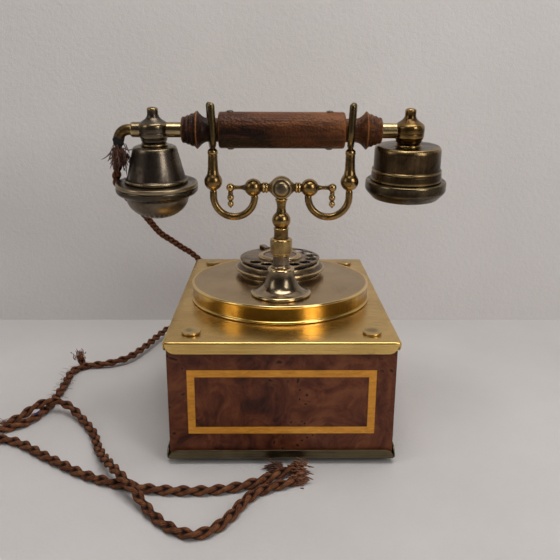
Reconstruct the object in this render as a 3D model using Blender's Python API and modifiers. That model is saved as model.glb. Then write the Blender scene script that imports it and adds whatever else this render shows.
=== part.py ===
"""French-style cradle telephone: a wooden box with brass plates, a dial drum, a column and a handset.

Metres, +Z up, the floor at z = 0. The column stands on the -Y side, the dial towards +Y.
"""
import math

import bmesh
import bpy
import numpy as np
from mathutils import Matrix

MM = 0.001
GAP = 0.3 * MM

# Box
PLATE_WIDTH = 182.0 * MM
PLATE_DEPTH = 250.0 * MM
PLATE_THICKNESS = 1.2 * MM
PLATE_TOP = 104.3 * MM
TOP_LIP = 9.7 * MM
BOTTOM_PLATE_LOW = 4.5 * MM
BOTTOM_LIP = 8.1 * MM
WOOD_WIDTH = 177.0 * MM
WOOD_DEPTH = 245.0 * MM
PANEL_THICKNESS = 10.0 * MM
FOOT_RADIUS = 9.0 * MM
BOLT_X = 71.0 * MM
BOLT_Y = 105.0 * MM
BOLT_CAP_RADIUS = 7.5 * MM
BOLT_CAP_HEIGHT = 1.3 * MM
BOLT_RADIUS = 2.0 * MM

# Drum and dial
DRUM_RADIUS = 79.4 * MM
DRUM_Y = -7.0 * MM
DRUM_TOP = 120.0 * MM
DRUM_WALL = 1.5 * MM
DIAL_Y = 16.0 * MM
WHEEL_RADIUS = 37.3 * MM
WHEEL_LOW = 133.8 * MM
WHEEL_TOP = 135.2 * MM
FINGER_HOLE_RADIUS = 5.3 * MM
FINGER_HOLE_CIRCLE = 30.2 * MM
FINGER_HOLE_ANGLES = [222 + 24 * step for step in range(10)]
CASE_RADIUS = 33.0 * MM
FLANGE_RADIUS = 41.7 * MM
SHAFT_RADIUS = 3.0 * MM
GOVERNOR_X = 23.0 * MM
FINGER_STOP_ANGLE = math.radians(116)

# Column and cradle
COLUMN_Y = -50.7 * MM
ROD_RADIUS = 3.0 * MM
ROD_BORE = 3.6 * MM
ROD_LOW = 97.5 * MM
STEM_RADIUS = 5.95 * MM
HUB_Z = 210.4 * MM
HUB_RADIUS = 9.5 * MM
SIDE_BALL_X = 23.0 * MM
SIDE_BALL_RADIUS = 7.3 * MM
TIP_BALL_X = 41.6 * MM
TIP_BALL_RADIUS = 3.5 * MM
ARM_CENTRE_X = 38.7 * MM
ARM_CENTRE_Z = 203.0 * MM
ARM_BEND = 16.8 * MM
ARM_RADIUS = 2.95 * MM
POST_X = ARM_CENTRE_X + ARM_BEND
POST_BALL_Z = 215.3 * MM
POST_BALL_RADIUS = 7.1 * MM
POST_TOP = 240.5 * MM
FORK_RADIUS = 2.65 * MM
FORK_BEND = 12.5 * MM
FORK_TOP = 279.2 * MM
FORK_LEAN = 1.4 * MM
FORK_TWIST = 0.145

# Handset
HANDSET_Z = 256.2 * MM
HANDSET_TILT = math.radians(5)
GRIP_RADIUS = 14.3 * MM
GRIP_HALF = 50.2 * MM
TUBE_RADIUS = 6.0 * MM
TUBE_BORE = 6.3 * MM
TUBE_LEFT = -120.0 * MM
TUBE_RIGHT = 100.0 * MM
JOINT_X = 102.0 * MM
SPOUT_BEND = 8.5 * MM

# Hook switch
LEVER_PIVOT_X = 28.0 * MM
LEVER_PIVOT_Z = 92.0 * MM

# Ringer
GONG_X = 29.0 * MM
GONG_Y = -85.0 * MM
GONG_RADIUS = 24.0 * MM
CLAPPER_Y = -45.0 * MM

# Cords
CORD_RADIUS = 3.4 * MM
GLAND_NOSE = 130.5 * MM
HANDSET_GLAND = (-40.0 * MM, 52.0 * MM)
LINE_GLAND = (-14.0 * MM, 22.0 * MM)

# Each cord's route, in millimetres, from where it leaves the object to its far end.
HANDSET_CORD_ROUTE = [
    (-130.4, -50.0, 248.1), (-131.4, -49.4, 241.0), (-132.9, -45.0, 231.0), (-136.0, -38.5, 220.0),
    (-138.4, -30.0, 211.0), (-137.2, -16.0, 201.0), (-132.6, 0.0, 189.0), (-127.8, 21.0, 175.5),
    (-124.2, 45.0, 160.5), (-119.8, 70.0, 145.0), (-112.5, 88.0, 134.0), (-104.0, 106.0, 122.0),
    (-96.5, 122.0, 112.0), (-90.5, 132.5, 103.0), (-84.0, 141.0, 94.0),
    (-75.0, 149.0, 81.0), (-64.0, 157.5, 68.0), (-54.0, 162.0, 58.5), (-46.0, 161.0, 53.5),
    (-41.2, 154.5, 52.1), (-40.0, 146.0, 52.0), (-40.0, 131.0, 52.0)]
LINE_CORD_ROUTE = [
    (-14.0, 131.0, 22.0), (-14.0, 146.0, 21.8), (-17.0, 160.0, 20.5), (-26.0, 173.0, 18.0),
    (-43.0, 183.0, 15.0), (-67.0, 187.5, 12.5), (-94.0, 186.0, 11.0), (-117.0, 176.5, 10.0),
    (-130.0, 160.0, 9.3), (-139.0, 137.0, 8.8), (-149.5, 103.0, 8.0), (-164.0, 75.0, 6.5),
    (-184.0, 64.5, 4.6), (-203.0, 61.5, 3.5), (-214.0, 48.0, 3.5), (-213.5, 20.0, 3.5),
    (-213.5, -20.0, 3.5), (-217.5, -46.0, 3.5), (-227.0, -64.0, 3.5), (-241.0, -73.0, 3.5),
    (-257.0, -73.5, 3.5), (-267.0, -81.0, 3.5), (-262.0, -89.5, 3.5), (-248.0, -90.5, 3.5),
    (-232.0, -91.0, 3.5), (-214.0, -99.5, 3.5), (-193.0, -115.5, 3.5), (-174.0, -129.0, 3.5),
    (-156.0, -141.5, 3.5), (-136.0, -152.0, 3.5), (-109.0, -161.0, 3.5), (-87.0, -165.0, 3.5),
    (-66.0, -166.0, 3.5), (-50.0, -165.0, 3.5), (-36.0, -162.0, 3.5), (-22.0, -156.5, 3.5),
    (-9.0, -149.0, 3.6), (2.0, -142.0, 4.6), (13.0, -137.0, 6.0)]
TAIL_CORD_ROUTE = [
    (-240.0, -63.0, 3.5), (-231.5, -51.5, 4.8), (-221.0, -42.0, 9.8), (-208.0, -37.0, 12.0),
    (-193.0, -41.5, 9.6), (-179.0, -54.0, 4.8), (-160.0, -82.0, 3.5), (-151.0, -104.0, 3.8),
    (-142.0, -123.0, 6.4), (-131.5, -142.0, 10.4), (-120.0, -159.0, 11.8), (-107.5, -174.0, 9.6),
    (-97.0, -187.0, 5.0), (-86.0, -200.0, 3.5), (-74.0, -210.5, 3.5), (-60.0, -216.0, 3.5),
    (-47.5, -210.5, 3.5), (-36.0, -195.5, 3.5), (-28.0, -180.0, 3.5), (-19.0, -168.5, 3.5),
    (-6.0, -160.5, 3.5), (6.0, -155.5, 3.5), (13.0, -150.5, 3.6)]

AXIS_X = (0.0, math.radians(90), 0.0)
AXIS_Y = (math.radians(-90), 0.0, 0.0)
AXIS_Y_BACK = (math.radians(90), 0.0, 0.0)
STANDING = Matrix(((1, 0, 0, 0), (0, 0, -1, 0), (0, 1, 0, 0), (0, 0, 0, 1)))

for old in list(bpy.data.objects):
    bpy.data.objects.remove(old, do_unlink=True)

phone = bpy.data.collections.new("cradle_phone")
bpy.context.scene.collection.children.link(phone)
cutters = bpy.data.collections.new("cutters")
bpy.context.scene.collection.children.link(cutters)


def finish(name, colour, roughness, metallic):
    """A Principled material with the given colour, roughness and metallic value."""
    look = bpy.data.materials.new(name)
    look.use_nodes = True
    shader = look.node_tree.nodes["Principled BSDF"]
    shader.inputs["Base Color"].default_value = (*colour, 1.0)
    shader.inputs["Roughness"].default_value = roughness
    shader.inputs["Metallic"].default_value = metallic
    return look


SATIN_BRASS = finish("satin_brass", (0.55, 0.44, 0.27), 0.35, 1.0)
BRIGHT_BRASS = finish("bright_brass", (0.72, 0.53, 0.22), 0.18, 1.0)
AGED_BRASS = finish("aged_brass", (0.42, 0.31, 0.16), 0.32, 1.0)
OLIVE_BRASS = finish("olive_brass", (0.30, 0.27, 0.17), 0.42, 1.0)
GREY_BRONZE = finish("grey_bronze", (0.36, 0.31, 0.24), 0.35, 1.0)
DARK_BRONZE = finish("dark_bronze", (0.16, 0.13, 0.09), 0.40, 1.0)
BURL = finish("burl_veneer", (0.22, 0.08, 0.04), 0.30, 0.0)
MAHOGANY = finish("mahogany", (0.20, 0.07, 0.03), 0.35, 0.0)
RUBBER = finish("dark_rubber", (0.03, 0.03, 0.03), 0.80, 0.0)
CARD = finish("dial_card", (0.17, 0.12, 0.11), 0.60, 0.0)
STEEL = finish("plain_steel", (0.50, 0.50, 0.50), 0.35, 1.0)
BAKELITE = finish("bakelite", (0.05, 0.04, 0.035), 0.45, 0.0)
BRAID = finish("brown_braid", (0.20, 0.085, 0.045), 0.85, 0.0)


def place(thing, look=None, home=None):
    """Put an object in its collection, give it its material and shade its round faces smooth."""
    for holder in list(thing.users_collection):
        holder.objects.unlink(thing)
    (home or phone).objects.link(thing)
    if look:
        thing.data.materials.clear()
        thing.data.materials.append(look)
    if thing.type == "MESH":
        thing.data.shade_smooth()
        thing.data.set_sharp_from_angle(angle=math.radians(35))
    return thing


def new_mesh(name, build):
    """A mesh object whose faces the function build makes in a bmesh."""
    mesh = bpy.data.meshes.new(name)
    work = bmesh.new()
    build(work)
    work.to_mesh(mesh)
    work.free()
    return bpy.data.objects.new(name, mesh)


def box(name, low, high, look=None, home=None):
    """A box between two opposite corners."""
    size = [high[i] - low[i] for i in range(3)]
    middle = [(high[i] + low[i]) / 2 for i in range(3)]

    def build(work):
        shape = Matrix.Translation(middle) @ Matrix.Diagonal((*size, 1.0))
        bmesh.ops.create_cube(work, size=1.0, matrix=shape)
    return place(new_mesh(name, build), look, home)


def rod(name, radius, low, high, centre, look=None, home=None, turn=(0, 0, 0), sides=16):
    """A cylinder along local Z from low to high, standing on the given centre."""
    def build(work):
        shape = Matrix.Translation((0, 0, (low + high) / 2))
        bmesh.ops.create_cone(work, cap_ends=True, segments=sides, radius1=radius, radius2=radius,
                              depth=high - low, matrix=shape)
    made = place(new_mesh(name, build), look, home)
    made.location = centre
    made.rotation_euler = turn
    return made


def slab(name, outline, low, high, look=None, home=None):
    """A flat outline in X and Y, given anticlockwise, pushed up from low to high."""
    def build(work):
        corners = [work.verts.new((x, y, low)) for x, y in outline]
        face = work.faces.new(corners)
        face.normal_update()
        pushed = bmesh.ops.extrude_face_region(work, geom=[face])
        tops = [item for item in pushed["geom"] if isinstance(item, bmesh.types.BMVert)]
        bmesh.ops.translate(work, verts=tops, vec=(0, 0, high - low))
        bmesh.ops.recalc_face_normals(work, faces=work.faces[:])
    return place(new_mesh(name, build), look, home)


def turned(name, outline, look, centre=(0, 0, 0), turn=(0, 0, 0), steps=16, closed=False, home=None):
    """A lathe-turned piece: (radius, height) pairs run down its outer side, top to bottom."""
    def build(work):
        points = [work.verts.new((radius, 0.0, height)) for radius, height in outline]
        for first, second in zip(points, points[1:]):
            work.edges.new((first, second))
        if closed:
            work.edges.new((points[-1], points[0]))
    made = place(new_mesh(name, build), look, home)
    spin = made.modifiers.new("Turn", "SCREW")
    spin.steps = steps
    spin.render_steps = steps
    spin.use_merge_vertices = True
    spin.merge_threshold = 0.00001
    made.location = centre
    made.rotation_euler = turn
    return made


def ball_arc(radius, centre, start, end, count):
    """Points down the right side of a ball, between two angles from its top, in degrees."""
    angles = np.radians(np.linspace(start, end, count))
    return [(radius * math.sin(a), centre + radius * math.cos(a)) for a in angles]


def combine(thing, other, operation):
    """Join another solid to a piece, or cut it away, and keep that solid as a hidden guide."""
    change = thing.modifiers.new(operation.title(), "BOOLEAN")
    change.operation = operation
    change.solver = "EXACT"
    change.object = other
    for holder in list(other.users_collection):
        holder.objects.unlink(other)
    cutters.objects.link(other)
    other.hide_render = True
    other.display_type = "WIRE"
    return thing


def wire(name, points, radius, look, resolution=2):
    """A round wire or cord through the given points."""
    curve = bpy.data.curves.new(name, "CURVE")
    curve.dimensions = "3D"
    curve.bevel_depth = radius
    curve.bevel_resolution = resolution
    curve.use_fill_caps = True
    line = curve.splines.new("POLY")
    line.points.add(len(points) - 1)
    for point, position in zip(line.points, points):
        point.co = (*position, 1.0)
    return place(bpy.data.objects.new(name, curve), look)


def smooth_route(points, spacing):
    """Evenly spaced points on a centripetal Catmull-Rom curve through a route in millimetres."""
    route = np.array(points, dtype=float) * MM
    ends = [2 * route[0] - route[1], *route, 2 * route[-1] - route[-2]]
    fine = [route[0]]
    for p0, p1, p2, p3 in zip(ends, ends[1:], ends[2:], ends[3:]):
        gaps = [math.sqrt(np.linalg.norm(b - a)) for a, b in ((p0, p1), (p1, p2), (p2, p3))]
        knots = np.cumsum([0.0] + gaps)
        for t in np.linspace(knots[1], knots[2], 17)[1:]:
            a1 = ((knots[1] - t) * p0 + (t - knots[0]) * p1) / (knots[1] - knots[0])
            a2 = ((knots[2] - t) * p1 + (t - knots[1]) * p2) / (knots[2] - knots[1])
            a3 = ((knots[3] - t) * p2 + (t - knots[2]) * p3) / (knots[3] - knots[2])
            b1 = ((knots[2] - t) * a1 + (t - knots[0]) * a2) / (knots[2] - knots[0])
            b2 = ((knots[3] - t) * a2 + (t - knots[1]) * a3) / (knots[3] - knots[1])
            fine.append(((knots[2] - t) * b1 + (t - knots[1]) * b2) / (knots[2] - knots[1]))
    fine = np.array(fine)
    reach = np.concatenate([[0.0], np.cumsum(np.linalg.norm(np.diff(fine, axis=0), axis=1))])
    count = int(round(reach[-1] / spacing)) + 1
    even = np.linspace(0.0, reach[-1], count)
    return np.stack([np.interp(even, reach, fine[:, axis]) for axis in range(3)], axis=1)


def at_corners():
    """The four fixing places, each with its name."""
    for front, y in (("front", -BOLT_Y), ("rear", BOLT_Y)):
        for side, x in (("left", -BOLT_X), ("right", BOLT_X)):
            yield f"{front}_{side}", x, y


def lip_outline(half, height):
    """A lip seen from outside: straight along the bend, both free corners rounded to its height."""
    radius = height * 0.85
    points = [(half, 0.0), (half, height - radius)]
    for angle in np.radians(np.linspace(0, 90, 4))[1:]:
        points.append((half - radius + radius * math.cos(angle), height - radius + radius * math.sin(angle)))
    return points + [(-x, z) for x, z in reversed(points)]


def tray(name, bend_z, lip_height, up, look):
    """A thin plate with four lips bent up or down, open at its corners."""
    sign = 1 if up else -1
    far_face = bend_z + sign * PLATE_THICKNESS
    low, high = sorted((bend_z, far_face))
    half_x, half_y = PLATE_WIDTH / 2, PLATE_DEPTH / 2
    made = box(name, (-half_x, -half_y, low), (half_x, half_y, high), look)
    notch = 1.6 * MM
    for axis, reach, half in (("y", half_y, half_x - notch), ("x", half_x, half_y - notch)):
        for side in (-1, 1):
            lip = slab(f"{name}_lip_{axis}{side}", lip_outline(half, lip_height), 0.0, PLATE_THICKNESS)
            along_z = Matrix(((1, 0, 0, 0), (0, 0, -1, 0), (0, sign, 0, 0), (0, 0, 0, 1)))
            if not up:
                along_z = Matrix(((-1, 0, 0, 0), (0, 0, -1, 0), (0, -1, 0, 0), (0, 0, 0, 1)))
            outwards = Matrix.Identity(4)
            if side == 1:
                outwards = Matrix.Rotation(math.radians(180), 4, "Z")
            quarter = Matrix.Identity(4)
            if axis == "x":
                quarter = Matrix.Rotation(math.radians(90), 4, "Z")
            push = Matrix.Translation((0, -reach + PLATE_THICKNESS, bend_z))
            lip.data.transform(quarter @ outwards @ push @ along_z)
            combine(made, lip, "UNION")
    return made


def drill(thing, radius, low, high, centre, turn=(0, 0, 0), sides=16):
    """Cut a round hole along local Z."""
    hole = rod(f"{thing.name}_hole", radius, low, high, centre, home=cutters, turn=turn, sides=sides)
    return combine(thing, hole, "DIFFERENCE")


def make_plates():
    """The top plate, bent down round the box, and the bottom plate, bent up round it."""
    top = tray("top_plate", PLATE_TOP, TOP_LIP, False, SATIN_BRASS)
    bottom = tray("bottom_plate", BOTTOM_PLATE_LOW, BOTTOM_LIP, True, OLIVE_BRASS)
    for _, x, y in at_corners():
        drill(top, BOLT_RADIUS + GAP, 0.09, 0.11, (x, y, 0), sides=12)
        drill(bottom, BOLT_RADIUS + GAP, 0.0, 0.01, (x, y, 0), sides=12)
    drill(top, CASE_RADIUS + 1.0 * MM, 0.09, 0.11, (0, DIAL_Y, 0), sides=24)
    drill(top, ROD_BORE, 0.09, 0.11, (0, COLUMN_Y, 0), sides=12)


def make_panels():
    """Four veneered panels, mitred at the corners."""
    low = BOTTOM_PLATE_LOW + PLATE_THICKNESS + GAP
    high = PLATE_TOP - PLATE_THICKNESS - GAP
    mitre_gap = 0.2 * MM
    for name, half, reach, turn in (("front_panel", WOOD_WIDTH / 2, WOOD_DEPTH / 2, 0),
                                    ("right_panel", WOOD_DEPTH / 2, WOOD_WIDTH / 2, 90),
                                    ("rear_panel", WOOD_WIDTH / 2, WOOD_DEPTH / 2, 180),
                                    ("left_panel", WOOD_DEPTH / 2, WOOD_WIDTH / 2, 270)):
        outer = half - mitre_gap
        inner = outer - PANEL_THICKNESS
        outline = [(-outer, -reach), (outer, -reach), (inner, -reach + PANEL_THICKNESS),
                   (-inner, -reach + PANEL_THICKNESS)]
        panel = slab(name, outline, low, high, BURL)
        panel.data.transform(Matrix.Rotation(math.radians(turn), 4, "Z"))
        if name == "rear_panel":
            for x, z in (HANDSET_GLAND, LINE_GLAND):
                drill(panel, 6.0 * MM, -0.13, -0.10, (x, 0, z), turn=AXIS_Y_BACK)


def make_feet_and_bolts():
    """Rubber feet, and long tie bolts with flat round caps that clamp the box together."""
    for corner, x, y in at_corners():
        sole = FOOT_RADIUS - 0.8 * MM
        outline = [(0, 4.2 * MM), (FOOT_RADIUS - 0.6 * MM, 4.2 * MM), (FOOT_RADIUS, 3.6 * MM), (sole, 0), (0, 0)]
        foot = turned(f"foot_{corner}", outline, RUBBER, (x, y, 0), steps=12)
        drill(foot, BOLT_RADIUS + GAP, 1.4 * MM, 6 * MM, (x, y, 0), sides=12)
        low_cap = PLATE_TOP + GAP
        high_cap = low_cap + BOLT_CAP_HEIGHT
        turned(f"tie_bolt_{corner}",
               [(0, high_cap), (BOLT_CAP_RADIUS - 0.4 * MM, high_cap), (BOLT_CAP_RADIUS, high_cap - 0.4 * MM),
                (BOLT_CAP_RADIUS, low_cap), (BOLT_RADIUS, low_cap), (BOLT_RADIUS, 1.8 * MM), (0, 1.8 * MM)],
               SATIN_BRASS, (x, y, 0), steps=12)


def make_drum():
    """A spun brass pan, mouth down, with holes for the dial and the hook rod."""
    low = PLATE_TOP + GAP
    inside = DRUM_RADIUS - DRUM_WALL
    profile = [(0, DRUM_TOP), (DRUM_RADIUS - 1.2 * MM, DRUM_TOP), (DRUM_RADIUS - 0.35 * MM, DRUM_TOP - 0.35 * MM),
               (DRUM_RADIUS, DRUM_TOP - 1.2 * MM), (DRUM_RADIUS, low + 1.6 * MM),
               (DRUM_RADIUS + 0.7 * MM, low + 1.0 * MM), (DRUM_RADIUS + 0.7 * MM, low), (inside, low),
               (inside, DRUM_TOP - DRUM_WALL), (0, DRUM_TOP - DRUM_WALL)]
    drum = turned("drum", profile, BRIGHT_BRASS, (0, DRUM_Y, 0), steps=40)
    drill(drum, CASE_RADIUS + 1.0 * MM, 0.11, 0.13, (0, DIAL_Y, 0), sides=24)
    drill(drum, ROD_BORE, 0.11, 0.13, (0, COLUMN_Y, 0), sides=12)


def gear_outline(teeth, root, tip):
    """A toothed rim: each tooth has a flat root, a flank, a tip and a flank."""
    points = []
    for tooth in range(teeth):
        for share, radius in ((0.0, root), (0.35, root), (0.5, tip), (0.85, tip)):
            angle = 2 * math.pi * (tooth + share) / teeth
            points.append((radius * math.cos(angle), radius * math.sin(angle)))
    return points


def make_dial():
    """The dial case, its number plate, bezel, card and finger stop, then its wheel and works."""
    wall = 1.4 * MM
    case_profile = [
        (36.2, 131.0), (36.6, 127.5), (41.2, 126.6), (41.7, 126.1), (41.7, 125.1), (41.0, 124.6),
        (37.2, 124.0), (37.0, 121.2), (37.6, 120.3), (33.0, 120.3), (33.0, 84.0)]
    outline = [(r * MM, z * MM) for r, z in case_profile]
    outline += [(SHAFT_RADIUS + GAP, 84.0 * MM), (SHAFT_RADIUS + GAP, 84.0 * MM + wall),
                (CASE_RADIUS - wall, 84.0 * MM + wall), (CASE_RADIUS - wall, 131.0 * MM)]
    turned("dial_case", outline, AGED_BRASS, (0, DIAL_Y, 0), steps=24, closed=True)
    outline = [(35.2 * MM, 132.2 * MM), (35.2 * MM, 131.3 * MM), (8 * MM, 131.3 * MM), (8 * MM, 132.2 * MM)]
    turned("number_plate", outline, CARD, (0, DIAL_Y, 0), steps=24, closed=True)
    make_finger_wheel()
    turned("dial_bezel",
           [(15.4 * MM, 137.6 * MM), (17.5 * MM, 138.2 * MM), (19.6 * MM, 137.2 * MM), (20.2 * MM, 135.5 * MM),
            (15.4 * MM, 135.5 * MM)], AGED_BRASS, (0, DIAL_Y, 0), steps=24, closed=True)
    turned("number_card", [(0, 136.9 * MM), (15.0 * MM, 136.7 * MM), (15.0 * MM, 135.5 * MM), (0, 135.5 * MM)],
           CARD, (0, DIAL_Y, 0), steps=24)
    stop = [(38.9, 127.5), (40.3, 127.2), (40.3, 138.4), (26.0, 138.0), (26.0, 136.9), (38.9, 137.2)]
    finger_stop = slab("finger_stop", [(r * MM, z * MM) for r, z in stop], -2.0 * MM, 2.0 * MM, AGED_BRASS)
    aside = Matrix.Translation((0, DIAL_Y, 0)) @ Matrix.Rotation(FINGER_STOP_ANGLE, 4, "Z")
    finger_stop.data.transform(aside @ STANDING)
    make_dial_works()


def make_finger_wheel():
    """The finger wheel, a flat ring on the shaft with ten finger holes."""
    bore = SHAFT_RADIUS + GAP
    outline = [(bore, WHEEL_TOP), (WHEEL_RADIUS - 0.4 * MM, WHEEL_TOP), (WHEEL_RADIUS, WHEEL_TOP - 0.5 * MM),
               (WHEEL_RADIUS - 0.3 * MM, WHEEL_LOW), (bore, WHEEL_LOW)]
    wheel = turned("finger_wheel", outline, AGED_BRASS, (0, DIAL_Y, 0), steps=36, closed=True)
    for degrees in FINGER_HOLE_ANGLES:
        angle = math.radians(degrees)
        x = FINGER_HOLE_CIRCLE * math.cos(angle)
        y = DIAL_Y + FINGER_HOLE_CIRCLE * math.sin(angle)
        drill(wheel, FINGER_HOLE_RADIUS, 0.13, 0.14, (x, y, 0), sides=12)


def make_dial_works():
    """The dial shaft with its gear, and the governor with its pinion."""
    shaft = rod("dial_shaft", SHAFT_RADIUS, 82.5 * MM, WHEEL_TOP, (0, DIAL_Y, 0), STEEL)
    gear = slab("dial_gear_blank", gear_outline(24, 16.6 * MM, 18.0 * MM), 96.0 * MM, 99.0 * MM)
    gear.location = (0, DIAL_Y, 0)
    combine(shaft, gear, "UNION")
    governor = turned("governor", [(0, 108 * MM), (1.2 * MM, 108 * MM), (1.2 * MM, 91 * MM), (7 * MM, 90.6 * MM),
                                   (7 * MM, 88.4 * MM), (1.2 * MM, 88 * MM), (1.2 * MM, 86 * MM), (0, 86 * MM)],
                      STEEL, (GOVERNOR_X, DIAL_Y, 0), steps=12)
    pinion = slab("governor_pinion", gear_outline(8, 3.2 * MM, 4.5 * MM), 95.5 * MM, 99.5 * MM)
    pinion.location = (GOVERNOR_X, DIAL_Y, 0)
    combine(governor, pinion, "UNION")


def make_column():
    """The bell-shaped foot, the tube above it and the collar nut that guides the cradle stem."""
    top, base_radius, throat = 143.3 * MM, 25.4 * MM, 11.6 * MM
    bottom = DRUM_TOP + GAP
    profile = [(throat - 0.6 * MM, top), (throat, top - 0.5 * MM)]
    for share in np.linspace(0.0, 1.0, 6):
        angle = share * math.pi / 2
        profile.append((throat + (base_radius - 1.2 * MM - throat) * (1 - math.cos(angle)),
                        top - 1.8 * MM - (top - 4.0 * MM - bottom) * math.sin(angle) ** 0.9))
    profile += [(base_radius, bottom + 1.4 * MM), (base_radius, bottom), (ROD_BORE, bottom), (ROD_BORE, top)]
    turned("bell_foot", profile, GREY_BRONZE, (0, COLUMN_Y, 0), steps=24, closed=True)
    low, high = top + GAP, 154.1 * MM
    turned("column_tube", [(6.8 * MM, high), (6.8 * MM, low + 1.6 * MM), (8.2 * MM, low + 1.0 * MM),
                           (8.2 * MM, low), (ROD_BORE, low), (ROD_BORE, high)],
           GREY_BRONZE, (0, COLUMN_Y, 0), closed=True)
    nut_low, nut_high, nut = 154.4 * MM, 168.3 * MM, 9.2 * MM
    bore = STEM_RADIUS + 0.35 * MM
    turned("collar_nut", [(nut - 1.2 * MM, nut_high), (nut, nut_high - 1.2 * MM), (nut, nut_low + 1.2 * MM),
                          (nut - 1.2 * MM, nut_low), (bore, nut_low), (bore, nut_high)],
           GREY_BRONZE, (0, COLUMN_Y, 0), closed=True)


def make_stem():
    """The sliding stem with its ball and neck, and the thin rod under it that works the switch."""
    ball_radius, ball_z = 7.65 * MM, 183.5 * MM
    neck = 4.0 * MM
    top = HUB_Z - HUB_RADIUS - 0.4 * MM
    profile = [(0, top), (neck + 0.6 * MM, top - 0.9 * MM), (neck + 0.5 * MM, top - 2.2 * MM),
               (neck, top - 3.2 * MM), (neck, 191.0 * MM)]
    profile += ball_arc(ball_radius, ball_z, 33, 139, 6)
    profile += [(STEM_RADIUS, 176.6 * MM), (STEM_RADIUS, 156.0 * MM), (ROD_RADIUS, 156.0 * MM),
                (ROD_RADIUS, ROD_LOW), (0, ROD_LOW)]
    turned("cradle_stem", profile, AGED_BRASS, (0, COLUMN_Y, 0))


def make_hub():
    """The cross spindle: hub ball, bead rings, side balls, and small finials with hanging beads."""
    half = [(TIP_BALL_RADIUS * math.sin(a), TIP_BALL_X + TIP_BALL_RADIUS * math.cos(a))
            for a in np.radians(np.linspace(0, 150, 5))]
    half += [(1.6 * MM, 37.6 * MM), (1.5 * MM, 34.0 * MM), (2.1 * MM, SIDE_BALL_X + 7.6 * MM)]
    half += ball_arc(SIDE_BALL_RADIUS, SIDE_BALL_X, 22, 152, 6)
    half += [(3.6 * MM, 16.0 * MM), (4.4 * MM, 15.2 * MM), (4.4 * MM, 13.4 * MM), (3.2 * MM, 12.6 * MM),
             (3.4 * MM, 11.0 * MM), (4.6 * MM, 8.6 * MM)]
    half += ball_arc(HUB_RADIUS, 0.0, 35, 90, 4)
    outline = half + [(radius, -x) for radius, x in reversed(half[:-1])]
    hub = turned("cradle_hub", outline, AGED_BRASS, (0, COLUMN_Y, HUB_Z), AXIS_X, steps=12)
    boss = turned("hub_boss", [(0, 10.6 * MM), (3.4 * MM, 10.3 * MM), (5.6 * MM, 9.4 * MM), (6.6 * MM, 8.2 * MM),
                               (6.6 * MM, -8.2 * MM), (5.6 * MM, -9.4 * MM), (3.4 * MM, -10.3 * MM),
                               (0, -10.6 * MM)], None, (0, COLUMN_Y, HUB_Z), AXIS_Y, steps=10)
    combine(hub, boss, "UNION")
    for side in (-1, 1):
        drop = [(0, -1.0 * MM), (1.5 * MM, -1.4 * MM), (1.4 * MM, -5.6 * MM)]
        drop += ball_arc(2.8 * MM, -8.2 * MM, 40, 145, 4)
        drop += ball_arc(2.6 * MM, -13.4 * MM, 35, 155, 4)
        drop += [(0.9 * MM, -16.4 * MM), (0, -16.9 * MM)]
        beads = turned(f"hub_drop_{side}", drop, None, (side * TIP_BALL_X, COLUMN_Y, HUB_Z), steps=8)
        combine(hub, beads, "UNION")


def make_arms():
    """Each side: a U-shaped arm, a baluster post on its ball, and the open fork for the handset."""
    for name, side in (("left", -1), ("right", 1)):
        bend = np.radians(np.linspace(180, 360, 13))
        path = [(side * (ARM_CENTRE_X + ARM_BEND * math.cos(a)), COLUMN_Y, ARM_CENTRE_Z + ARM_BEND * math.sin(a))
                for a in bend]
        inner_x, _, _ = path[0]
        outer_x, _, _ = path[-1]
        path = [(inner_x, COLUMN_Y, 202.9 * MM)] + path[1:-1] + [(outer_x, COLUMN_Y, ARM_CENTRE_Z)]
        path.append((outer_x, COLUMN_Y, POST_BALL_Z - POST_BALL_RADIUS - 0.6 * MM))
        wire(f"arm_{name}", path, ARM_RADIUS, AGED_BRASS)
        profile = [(0, POST_TOP), (3.6 * MM, POST_TOP), (4.1 * MM, POST_TOP - 0.7 * MM), (4.1 * MM, 238.4 * MM),
                   (3.4 * MM, 237.6 * MM), (3.8 * MM, 236.0 * MM), (4.3 * MM, 230.0 * MM), (4.9 * MM, 225.5 * MM),
                   (4.9 * MM, 223.8 * MM), (4.2 * MM, 222.2 * MM)]
        profile += ball_arc(POST_BALL_RADIUS, POST_BALL_Z, 38, 165, 6)
        profile += [(0, POST_BALL_Z - POST_BALL_RADIUS)]
        turned(f"post_{name}", profile, AGED_BRASS, (side * POST_X, COLUMN_Y, 0), steps=14)
        prong_top = FORK_TOP - FORK_RADIUS * 0.6
        low = HANDSET_Z - FORK_BEND
        prong = [(-FORK_BEND, z) for z in (prong_top, 275.2 * MM, 270.0 * MM, 262.0 * MM)]
        cup = np.radians(np.linspace(180, 360, 11))
        curve = [(FORK_BEND * math.cos(a), HANDSET_Z + FORK_BEND * math.sin(a)) for a in cup]
        line = prong + curve + [(-y, z) for y, z in reversed(prong)]
        lean = FORK_LEAN / (FORK_TOP - low)
        points = [(side * (POST_X + lean * (z - low) + FORK_TWIST * y), COLUMN_Y + y, z) for y, z in line]
        wire(f"fork_{name}", points, FORK_RADIUS, AGED_BRASS)


def lay_on_handset(thing):
    """Turn a piece made about the handset's own axis by the handset's tilt, and lift it into place."""
    tilt = Matrix.Translation((0, COLUMN_Y, HANDSET_Z)) @ Matrix.Rotation(HANDSET_TILT, 4, "X")
    turn = thing.rotation_euler.to_matrix().to_4x4()
    thing.matrix_world = tilt @ Matrix.Translation(thing.location) @ turn
    return thing


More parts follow.
